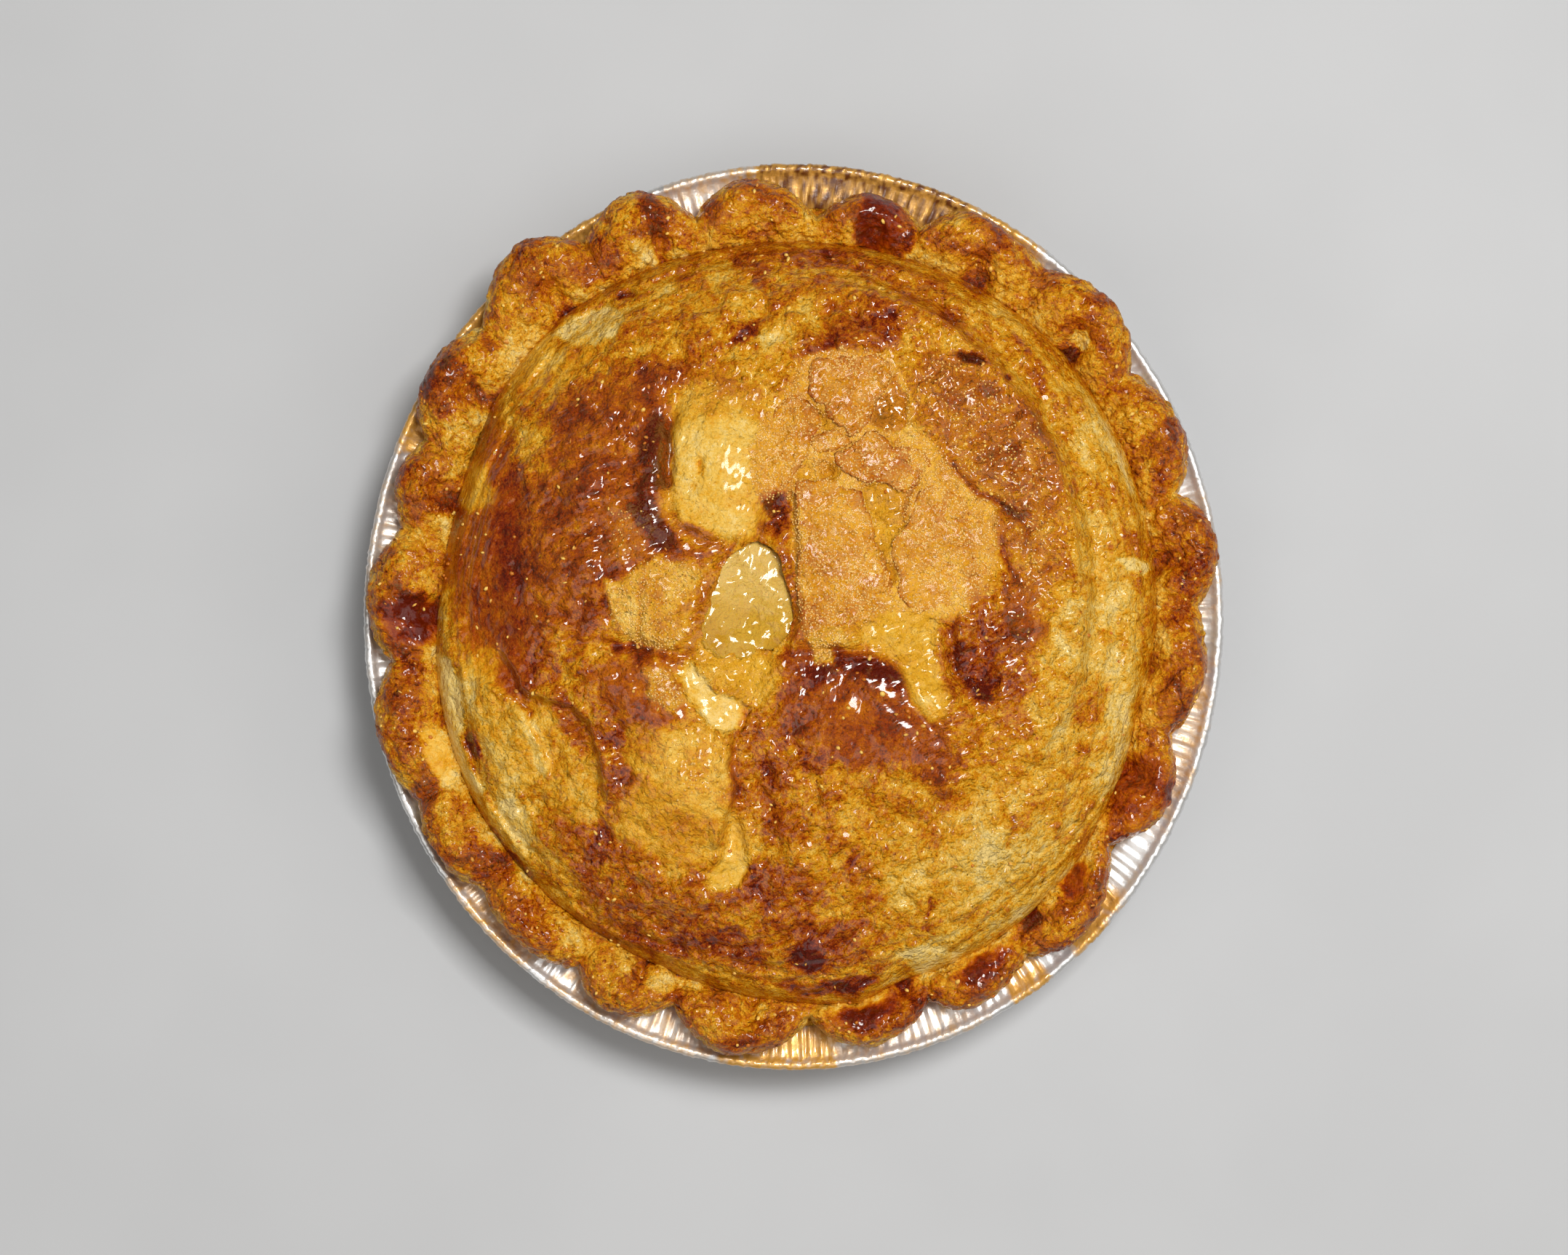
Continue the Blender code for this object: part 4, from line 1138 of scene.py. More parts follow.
def inside_outline(places, outline):
    """How far inside a closed outline each place lies, negative outside it."""
    corners = np.array(outline, float)
    nearest = np.full(len(places), np.inf)
    inside = np.zeros(len(places), bool)
    for start, end in zip(corners, np.roll(corners, -1, axis=0)):
        edge, distance, _ = past_edge(places, start, end)
        nearest = np.minimum(nearest, distance)
        spans = (start[1] > places[:, 1]) != (end[1] > places[:, 1])
        crossing = start[0] + (places[:, 1] - start[1]) / (edge[1] or 1e-9) * edge[0]
        inside ^= spans & (places[:, 0] < crossing)
    return np.where(inside, nearest, -nearest)


def ragged(places, size, amount, seed):
    """Places pushed about sideways, so that what is drawn at them has torn edges."""
    return warped(level_points(places), size, amount, seed)[:, :2]


def seam_radius(degrees):
    """The radius in millimetres at which the lid meets the crimped edge."""
    angles, shares = zip(*SEAM)
    return np.interp(degrees % 360, angles, shares, period=360) * RIM_RADIUS / MM


SHOULDER_MIDDLE = 30.0
SHOULDER_SPREAD = 52.0
SHOULDER_ENDS = 25.0
SHOULDER_RADIUS = 79.0
SHOULDER_SLEW = 0.12
SHOULDER_HEIGHT = 2.8
SHOULDER_DROP = 4.5
SHOULDER_BACK = 16.0
SHOULDER_FALL = 4.0
SHOULDER_FLANK = 12.0


def shoulder_lift(places):
    """The crown's raised outer edge on the right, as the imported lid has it."""
    radius, degrees = round_place(places)
    away = within_turn(degrees - SHOULDER_MIDDLE)
    strength = ease((SHOULDER_SPREAD - np.abs(away)) / SHOULDER_ENDS + 0.5)
    edge = SHOULDER_RADIUS + SHOULDER_SLEW * away
    rise = ease((radius - edge + SHOULDER_BACK) / SHOULDER_BACK)
    fall = ease((radius - edge) / SHOULDER_FALL)
    flank = ease((LID_RADIUS / MM - radius) / SHOULDER_FLANK)
    return strength * (SHOULDER_HEIGHT * rise - SHOULDER_DROP * fall * flank)


def lid_share(places):
    """How far out each place is, from 0 in the middle to 1 where the lid ends."""
    radius, degrees = round_place(places)
    edge = np.where(radius > 60, seam_radius(degrees), LID_RADIUS / MM)
    blend = ease((radius - 50) / 40)
    return np.minimum(1.0, radius / (LID_RADIUS / MM + (edge - LID_RADIUS / MM) * blend))


def lid_form(places):
    """The height in millimetres of the lid's smooth shape."""
    part = lid_share(places)
    dome = (1 - part**DOME_FULLNESS) ** (1 / DOME_SHOULDER)
    lift = bumps_height(places, BULGES) + shoulder_lift(places)
    return (LID_EDGE_HEIGHT + DOME_HEIGHT * dome) / MM + lift * ease((1 - part) / CALM_EDGE)


def vent_depth(places):
    """How far inside the lid's opening each place lies, negative on the crust."""
    return inside_outline(ragged(places, 2.6, 0.7, 71), STEAM_VENT)


def region_share(places, name):
    """How much of a named patch lies at each place, and how far inside its outline it is."""
    outline, soft = REGIONS[name][:2]
    corners = np.array(outline, float)
    near = ((places > corners.min(axis=0) - soft) & (places < corners.max(axis=0) + soft)).all(axis=1)
    depth = np.full(len(places), -soft)
    depth[near] = inside_outline(places[near], outline)
    return ease(depth / soft + 0.5), depth


def lid_rough(places):
    """How rough the lid's surface is, from 0 where it is smooth to 1."""
    smooth = paint_levels(places, SMOOTH, 0.0)
    for name, row in REGIONS.items():
        smooth += (row[5] - smooth) * region_share(places, name)[0]
    return 1 - smooth


# The lid's relief from broad to fine, in millimetres, and how pushed about its places are.
LUMP_STRENGTH = 1.9
WAVE_SIZE, WAVE_HEIGHT = 11.0, 1.7
BLISTER_SIZE, BLISTER_HEIGHT = 6.4, 1.30
KNOB_SIZE, KNOB_HEIGHT = 2.7, 1.15
GRAIN_SIZE, GRAIN_HEIGHT = 3.2, 1.00
PEBBLE_MEAN = 0.35  # taken off pebbles, which then raise and lower the crust alike
PATCH_EDGE = 0.8  # the run of the step round a patch
LEDGE_STRENGTH, LEDGE_EDGE, LEDGE_ENDS = 0.6, 0.7, 0.12
CRACK_ENDS, CRACK_START = 0.1, 0.3
VENT_LIP, VENT_LIP_DEPTH = 0.8, 0.5
TORN = (5.0, 1.1, 11)  # size, amount and seed of the push for patches and ledges
JAGGED = (2.0, 0.5, 12)  # and for cracks
LID_LIMIT = 69.7  # the lid's greatest height
LID_EASE = 2.5  # how far below it the heights start to be held back


def lid_waves(places, rough):
    """The height in millimetres of the lid's lumps and broad unevenness."""
    waves = LUMP_STRENGTH * bumps_height(ragged(places, 7.0, 2.2, 21), LUMPS)
    return waves + WAVE_HEIGHT * noise(level_points(places), WAVE_SIZE, 51, 3) * (0.35 + 0.65 * rough)


def lid_knobs(places, rough):
    """The height in millimetres of the blisters and grain that baking raised."""
    deep = np.column_stack((places, 0.35 * lid_form(places)))
    blisters = pebbles(warped(deep, 6.0, 2.6, 53), BLISTER_SIZE, 54) - PEBBLE_MEAN
    small = pebbles(warped(deep, 2.6, 1.2, 55), KNOB_SIZE, 56) - PEBBLE_MEAN
    knobs = BLISTER_HEIGHT * blisters * rough
    knobs += KNOB_HEIGHT * small * (0.10 + 0.90 * rough)
    knobs += GRAIN_HEIGHT * noise(deep, GRAIN_SIZE, 57, 4) * (0.20 + 0.80 * rough)
    return knobs


def ring_noise(places, width, run, seed):
    """Noise in streaks that run round the lid, of a width and a run in millimetres."""
    radius, degrees = round_place(places)
    angle = np.radians(degrees)
    streaks = (radius / width, np.cos(angle) * radius / run, np.sin(angle) * radius / run)
    return smooth_noise(np.column_stack(streaks), seed)


def add_cracks(places, level, column, factor, widening):
    """Adds a column of the cracks' table to a level, most on each crack's line."""
    jagged = ragged(places, *JAGGED)
    for row in CRACKS.values():
        distance, _, along = beside_line(jagged, row[0])
        ends = taper(along, CRACK_ENDS, CRACK_START)
        level = level + factor * row[column] * bell(distance / (widening * row[1])) * ends
    return level


def lid_detail(places):
    """The height in millimetres of the lid's ledges, cracks, blisters and roughness."""
    part = lid_share(places)
    torn = ragged(places, *TORN)
    rough = lid_rough(torn)
    height = lid_waves(places, rough) + lid_knobs(places, rough)
    for name, row in REGIONS.items():
        if row[6]:
            height += row[6] * ease(region_share(torn, name)[1] / PATCH_EDGE + 0.5)
    for line, rise, reach in LEDGES.values():
        distance, side, along = beside_line(torn, line)
        step = rise * side * taper(along, LEDGE_ENDS) * LEDGE_STRENGTH
        height += step * ease(1 - distance / reach) * ease(distance / LEDGE_EDGE)
    height = add_cracks(places, height, 2, -1, 1.0)
    height += 0.7 * ring_noise(places, 1.5, 11, 58) * ease((part - 0.80) / 0.10)
    height -= VENT_LIP_DEPTH * bell(np.minimum(vent_depth(places), 0) / VENT_LIP)
    return height * ease((1 - part) / 0.05)


def lid_top(places):
    """The height in millimetres of the lid's finished top, which stays under a limit."""
    height = lid_form(places) + lid_detail(places)
    over = np.maximum(height - LID_LIMIT + LID_EASE, 0)
    return np.minimum(height, LID_LIMIT - LID_EASE) + LID_EASE * np.tanh(over / LID_EASE)


EVEN_BAKE = 0.42  # the crust's browning where no patch is painted
CRACK_SHADE_AND_BROWNING_SPREAD = 1.3  # the browning and painted shade of a crack is this much wider than the crack
STREAK_DRYING = 0.7
# browning and painted shade in the seam where the lid meets the crimped edge
LID_SEAM_SHADE_AND_BROWNING = 0.12
SIDE_STREAKS = 0.14


def lid_marks(places):
    """What the lid's material reads: how baked, sugared, juicy and smooth each place is; the browning also
    carries painted shade and painted highlights.
    """
    rugged = noise(level_points(places), 8.0, 61, 5)
    fine = noise(level_points(places), 2.4, 66, 3)
    torn = ragged(places, *TORN)
    bake = paint_levels(torn, BROWNING, EVEN_BAKE, 0.40 * rugged + 0.25 * fine)
    sugar = np.zeros(len(places))
    juice = np.zeros(len(places))
    for name, (_, soft, baked, sugared, juicy, _, _) in REGIONS.items():
        depth = region_share(torn, name)[1]
        cover = ease((depth + (rugged + 0.5 * fine) * min(soft, 4.0) * 0.6) / soft + 0.5)
        bake += (baked - bake) * cover
        sugar += (sugared - sugar) * cover
        juice += (juicy - juice) * cover
    for line, half, baked in STREAKS.values():
        distance, _, along = beside_line(torn, line)
        ends = taper(along, 0.12, 0.3)
        cover = ease((1.5 - distance / half + 0.8 * rugged + 0.4 * fine) * ends)
        bake += (baked - bake) * cover
        juice -= juice * cover * STREAK_DRYING
    rough = lid_rough(torn)
    grain = lid_knobs(places, rough) * rough
    # Painted shade and highlight: on pale crust the knobs are browner, but on dark crust the hollows
    # between them are painted darker and the knobs paler.
    darker = 0.12 - 0.26 * ease((bake - 0.45) / 0.2)
    bake += 0.11 * rugged * rough + (grain - grain.mean()) * darker
    # Cracks and creases are painted darker: browning and painted shade in them.
    bake = add_cracks(places, bake, 3, 1, CRACK_SHADE_AND_BROWNING_SPREAD)
    part = lid_share(places)
    streaks = SIDE_STREAKS * ring_noise(places, 1.8, 14, 68) * ease((part - 0.82) / 0.08)
    # Browning and painted shade along the seam where the lid meets the edge.
    bake += streaks + LID_SEAM_SHADE_AND_BROWNING * ease((part - 0.972) / 0.03)
    return {"bake": bake, "sugar": sugar, "juice": juice, "smooth": 1 - rough}


def disc_grid(cells):
    """A square grid drawn into a disc: how far out each corner is, and its angle."""
    steps = np.linspace(-1, 1, cells + 1)
    across, along = np.meshgrid(steps, steps, indexing="ij")
    part = np.maximum(np.abs(across), np.abs(along))
    wide = np.abs(across) >= np.abs(along)
    over_across = np.where(across == 0, 1, across)
    over_along = np.where(along == 0, 1, along)
    quarter = math.pi / 4
    angle = np.where(wide, quarter * along / over_across, 2 * quarter - quarter * across / over_along)
    angle += np.where(np.where(wide, across, along) < 0, math.pi, 0.0)
    return part, angle


def closer_outside(part):
    """Moves the rings of a disc grid so that they lie closer together at its edge."""
    return 1.2 * part - 0.2 * part**3


def disc_places(part, angle):
    """The places in millimetres of a disc grid's corners on the lid."""
    out = closer_outside(part)
    edge = seam_radius(np.degrees(angle))
    radius = out * (LID_RADIUS / MM + (edge - LID_RADIUS / MM) * out**4)
    across, along = squeeze(radius, angle)
    return np.stack((across, along), axis=-1)


def finer(kept, stride):
    """The cells of a coarser grid as cells of the fine one."""
    return np.repeat(np.repeat(kept, stride, 0), stride, 1)


def cell_corners(numbers):
    """The four corners of every cell of a grid, in order round it."""
    return numbers[:-1, :-1], numbers[1:, :-1], numbers[1:, 1:], numbers[:-1, 1:]


SNAP_ROUNDS = 3
SNAP_STEP = 0.05  # in millimetres, to feel how steeply the edge's depth changes
LEAST_STEEPNESS = 0.25
SNAP_REACH = 6  # corners this many cells from the edge are evened out


def snap_to_edge(grid, kept, depth_at, stride, passes=12):
    """Moves the corners round left-out cells onto the edge, and evens out those beside it."""
    touching = np.stack(cell_corners(np.pad(finer(kept, stride), 1, mode="edge")))
    rim = touching.any(axis=0) & ~touching.all(axis=0)
    steps = ((SNAP_STEP, 0), (0, SNAP_STEP))
    for _ in range(SNAP_ROUNDS):
        spots = grid[rim]
        depth = depth_at(spots)
        slope = np.column_stack([(depth_at(spots + step) - depth) / SNAP_STEP for step in steps])
        steepness = np.maximum((slope**2).sum(axis=1, keepdims=True), LEAST_STEEPNESS)
        grid[rim] = spots - np.clip(depth[:, None] * slope / steepness, -1.0, 1.0)
    near = rim.copy()
    for _ in range(SNAP_REACH):
        near[1:-1, 1:-1] |= near[:-2, 1:-1] | near[2:, 1:-1] | near[1:-1, :-2] | near[1:-1, 2:]
    free = (near & ~rim)[1:-1, 1:-1]
    for _ in range(passes):
        middle = (grid[:-2, 1:-1] + grid[2:, 1:-1] + grid[1:-1, :-2] + grid[1:-1, 2:]) / 4
        grid[1:-1, 1:-1][free] = middle[free]
    return grid


CELL_SIDES = {  # the step to the cell beside, and the two corners on that side
    (0, -1): ((0, 0), (1, 0)),
    (1, 0): ((1, 0), (1, 1)),
    (0, 1): ((1, 1), (0, 1)),
    (-1, 0): ((0, 1), (0, 0)),
}


def closed_shell(top, under_height, kept, stride):
    """A closed shell under a grid of top points, over the kept cells of a coarser grid.

    It gives the points, the triangles and, for each point, the grid corner it came from.
    """
    rows, columns = top.shape[:2]
    number = np.arange(rows * columns).reshape(rows, columns)
    coarse = number[::stride, ::stride]
    below = np.arange(coarse.size).reshape(coarse.shape) + number.size
    under = top[::stride, ::stride].copy()
    under[..., 2] = under_height
    points = np.concatenate((top.reshape(-1, 3), under.reshape(-1, 3)))
    source = np.concatenate((number.ravel(), coarse.ravel()))
    fine = finer(kept, stride)
    a, b, c, d = (corner[fine] for corner in cell_corners(number))
    faces = [np.stack((a, b, c), 1), np.stack((a, c, d), 1)]
    a, b, c, d = (corner[kept] for corner in cell_corners(below))
    faces += [np.stack((a, c, b), 1), np.stack((a, d, c), 1)]
    padded = np.pad(kept, 1)
    for (step_i, step_j), (start, end) in CELL_SIDES.items():
        beside = padded[1 + step_i : 1 + step_i + kept.shape[0], 1 + step_j : 1 + step_j + kept.shape[1]]
        cell_i, cell_j = np.nonzero(kept & ~beside)
        low_start = below[cell_i + start[0], cell_j + start[1]]
        low_end = below[cell_i + end[0], cell_j + end[1]]
        run = (end[0] - start[0], end[1] - start[1])
        chain = []
        for step in range(stride + 1):
            fine_i = (cell_i + start[0]) * stride + run[0] * step
            fine_j = (cell_j + start[1]) * stride + run[1] * step
            chain.append(number[fine_i, fine_j])
        for first, second in zip(chain, chain[1:]):
            faces.append(np.stack((second, first, low_start), 1))
        faces.append(np.stack((chain[-1], low_start, low_end), 1))
    faces = np.concatenate(faces)
    used, renumbered = np.unique(faces, return_inverse=True)
    return points[used], renumbered.reshape(-1, 3), source[used]


def shell_mesh(top, under_height, kept, stride, marks):
    """A closed shell as a mesh in metres, with its marks for the material."""
    points, faces, source = closed_shell(top, under_height, kept, stride)
    mesh = mesh_of(points * MM, faces)
    for name, values in marks.items():
        store(mesh, name, values[source])
    return mesh


def lid_mesh(cells):
    """The whole lid, with its opening, as one closed shell."""
    grid = disc_places(*disc_grid(cells))
    kept = vent_depth(grid[1::2, 1::2].reshape(-1, 2)).reshape(cells // 2, cells // 2) <= 0
    grid = snap_to_edge(grid, kept, vent_depth, 2)
    places = grid.reshape(-1, 2)
    height = lid_top(places).reshape(grid.shape[:2])
    top = np.dstack((grid, height))
    form = lid_form(places).reshape(grid.shape[:2])[::2, ::2]
    return shell_mesh(top, form - LID_THICKNESS / MM, kept, 2, lid_marks(places))


# ---- Crust finish -----------------------------------------------------------------------------------


class CrustLook(bpy.types.PropertyGroup):
    """Baked pastry, from raw to burnt."""

    cells: count("Lid Cells", "Faces across the lid, a multiple of two", 280)
    edge_segments: count("Edge Segments", "Faces round the crimped edge", 1560)
    raw: colour("Raw", "Hardly baked pastry", 238, 206, 126)
    pale: colour("Pale", "Pale yellow pastry", 234, 192, 90)
    gold: colour("Gold", "Golden pastry", 226, 166, 42)
    amber: colour("Amber", "Amber pastry", 210, 138, 10)
    brown: colour("Brown", "Golden brown pastry", 188, 102, 2)
    red_brown: colour("Red Brown", "Well baked pastry", 164, 74, 0)
    dark: colour("Dark", "Dark glazed pastry", 132, 42, 0)
    burnt: colour("Burnt", "Nearly burnt glaze", 90, 18, 0)
    sugar: colour("Sugared Crust", "Dry crust under sugar", 222, 172, 88)
    juice: colour("Juice", "Juice that shows through", 220, 166, 44)
    gloss: share("Gloss", "Shine of the glaze", 0.82)


def crust_stops(look):
    """The colours of pastry as it bakes, as stops of a ramp."""
    return (
        (0.00, look.raw),
        (0.12, look.pale),
        (0.30, look.gold),
        (0.45, look.amber),
        (0.60, look.brown),
        (0.74, look.red_brown),
        (0.88, look.dark),
        (1.00, look.burnt),
    )


BLOTCH_SIZE = 0.0080  # sizes in metres
MOTTLE_SIZE = 0.0015
FLECK_SIZE = 0.0005
BLISTER_SPACING = 0.0011
SPECKLE_SPACING = 0.0019
CHALK_SIZE = 0.0024
FOLD_SIZE = 0.0036
BLOTCH_STRENGTH = 1.0  # how much each makes the browning uneven
MOTTLE_STRENGTH = 0.85
FLECK_STRENGTH = 0.5
SPECKLE_STRENGTH = 0.18
SMOOTHING = 0.6  # how much less uneven and bumpy the crust is where it is smooth
BAKE_CONTRAST = 1.15  # how much more the browning differs in the material than in the tables
SPECK_HEIGHT = 0.00018
PIMPLE_HEIGHT = 0.0013
FOLD_HEIGHT = 0.0024


def crust_material(name, look, roughness=0.24, unevenness=1.0, shine=1.0):
    """Glazed pastry, whose browning, sugar and juice its mesh keeps for each point; the browning also
    carries painted shade and painted highlights.
    """
    material, maker = new_material(name)
    bake = maker.attribute("bake")
    sugar = maker.attribute("sugar")
    juice = maker.attribute("juice")
    rough = 1 - maker.attribute("smooth") * SMOOTHING
    blotches = maker.grain(BLOTCH_SIZE, 5.0, 0.55)
    mottling = maker.grain(MOTTLE_SIZE, 4.0, 0.65)
    flecks = maker.grain(FLECK_SIZE, 2.0)
    blisters = maker.cells(BLISTER_SPACING)
    uneven = (blotches - 0.5) * (BLOTCH_STRENGTH * unevenness)
    uneven = uneven + (mottling - 0.5) * (MOTTLE_STRENGTH * unevenness)
    speckles = maker.ramp(maker.cells(SPECKLE_SPACING), 0.10, 0.32, 1.0, 0.0)
    speckles = speckles * maker.ramp(blotches, 0.42, 0.58)
    spots = uneven + (flecks - 0.5) * FLECK_STRENGTH + speckles * (SPECKLE_STRENGTH * unevenness)
    level = (bake - EVEN_BAKE) * BAKE_CONTRAST + EVEN_BAKE + spots * rough
    base = maker.node("ShaderNodeValToRGB", {"Fac": level}, "Color", stops=crust_stops(look))
    dusted = maker.ramp(mottling + flecks, 0.88, 1.12) * sugar
    base = maker.mix(dusted * 0.6, base, look.sugar)
    chalky = maker.ramp(maker.grain(CHALK_SIZE, 4.0, 0.7), 0.56, 0.64) * rough
    chalky = chalky * maker.ramp(bake, 0.30, 0.75, 1.0, 0.35)
    base = maker.mix(chalky * (0.25 * unevenness), base, look.sugar)
    wet = juice * maker.ramp(blotches + mottling * 0.4, 0.45, 0.80, 0.45, 1.0)
    base = maker.mix(wet * 0.75, base, look.juice)
    gloss = maker.ramp(blotches, 0.35, 0.65, 0.60, 1.0) * maker.ramp(bake, 0.35, 0.70, 0.45, 1.0)
    gloss = gloss * (look.gloss * shine) + maker.attribute("smooth") * 0.25
    pebbled = mottling * 0.7 + (1 - blisters) * 0.3
    ridges = maker.grain(FOLD_SIZE, 5.0, 0.6)
    bumps = maker.bump(flecks, SPECK_HEIGHT)
    bumps = maker.bump(pebbled * rough, PIMPLE_HEIGHT, under=bumps)
    bumps = maker.bump(ridges * rough, FOLD_HEIGHT, under=bumps)
    values = {
        "Base Color": base,
        "Roughness": roughness + sugar * 0.2 - juice * 0.2,
        "Normal": bumps,
        "Coat Weight": gloss * (1 - sugar * 0.8),
        "Coat Roughness": 0.09,
        "Coat IOR": 1.5,
        "Specular IOR Level": 0.08,
    }
    maker.finish(values)
    return material


class PIE_OT_lid(bpy.types.Operator):
    """Builds the baked lid with its bumps, ledges, cracks and opening"""

    bl_idname = "pie.lid"
    bl_label = "Lid"

    def execute(self, context):
        look = context.scene.pie_crust
        material = crust_material("baked_lid", look)
        add_piece("baked_lid", lid_mesh(look.cells), material, "top_crust")
        return {"FINISHED"}


# ---- Crimped edge ---------------------------------------------------------------------------------

# One row for each crimp, anticlockwise from the right-hand side: the angle in degrees and
# the reach in millimetres of its tip, then the same for the notch that follows it.
CRIMPS = (
    (9.0, 113.9, 17.0, 106.8), (25.0, 113.6, 34.5, 108.7), (43.0, 115.9, 53.0, 109.9),
    (63.0, 112.7, 71.0, 103.3), (78.0, 108.7, 86.5, 100.5), (97.0, 111.0, 104.5, 103.6),
    (113.0, 115.2, 120.5, 108.5), (128.0, 118.6, 138.5, 110.1), (147.0, 115.3, 155.5, 107.8),
    (161.0, 111.0, 168.0, 106.4), (177.5, 113.3, 186.0, 107.6), (195.0, 114.1, 205.0, 109.9),
    (212.0, 112.1, 219.5, 107.6), (228.0, 109.9, 237.0, 105.1), (243.0, 110.7, 252.0, 102.8),
    (261.0, 111.6, 272.5, 101.3), (281.0, 110.0, 290.5, 103.3), (297.0, 109.3, 306.0, 105.9),
    (314.0, 111.0, 325.5, 101.3), (334.5, 110.0, 343.5, 104.7), (353.0, 110.2, 361.5, 107.4),
)

# The pinched creases on the inner side: the angle at the lid, half the width in degrees,
# how deep it is from 0 to 1, and how many degrees it leans on its way out.
CREASES = (
    (8.0, 2.6, 0.9, 2.0), (24.0, 2.4, 0.5, 2.0), (42.0, 2.2, 1.0, 1.5), (60.0, 2.8, 1.0, 2.5),
    (77.0, 2.4, 0.7, 1.0), (95.0, 2.6, 0.5, 2.0), (111.5, 1.6, 1.0, -2.0), (128.0, 2.0, 1.0, 1.0),
    (145.5, 2.6, 1.0, 3.0), (162.0, 2.4, 0.9, -1.5), (179.0, 2.6, 0.8, 1.0), (195.0, 2.4, 0.4, 1.5),
    (209.0, 2.2, 0.5, 2.0), (228.0, 2.6, 0.6, 1.0), (246.0, 1.6, 0.8, -1.0), (251.0, 1.4, 0.7, 2.0),
    (264.0, 2.4, 0.9, -2.0), (287.5, 2.2, 1.0, 1.5), (309.0, 2.0, 1.0, 2.0), (318.0, 2.0, 0.6, -2.0),
    (337.0, 2.2, 1.0, -1.5), (352.0, 2.2, 0.6, 1.0),
)

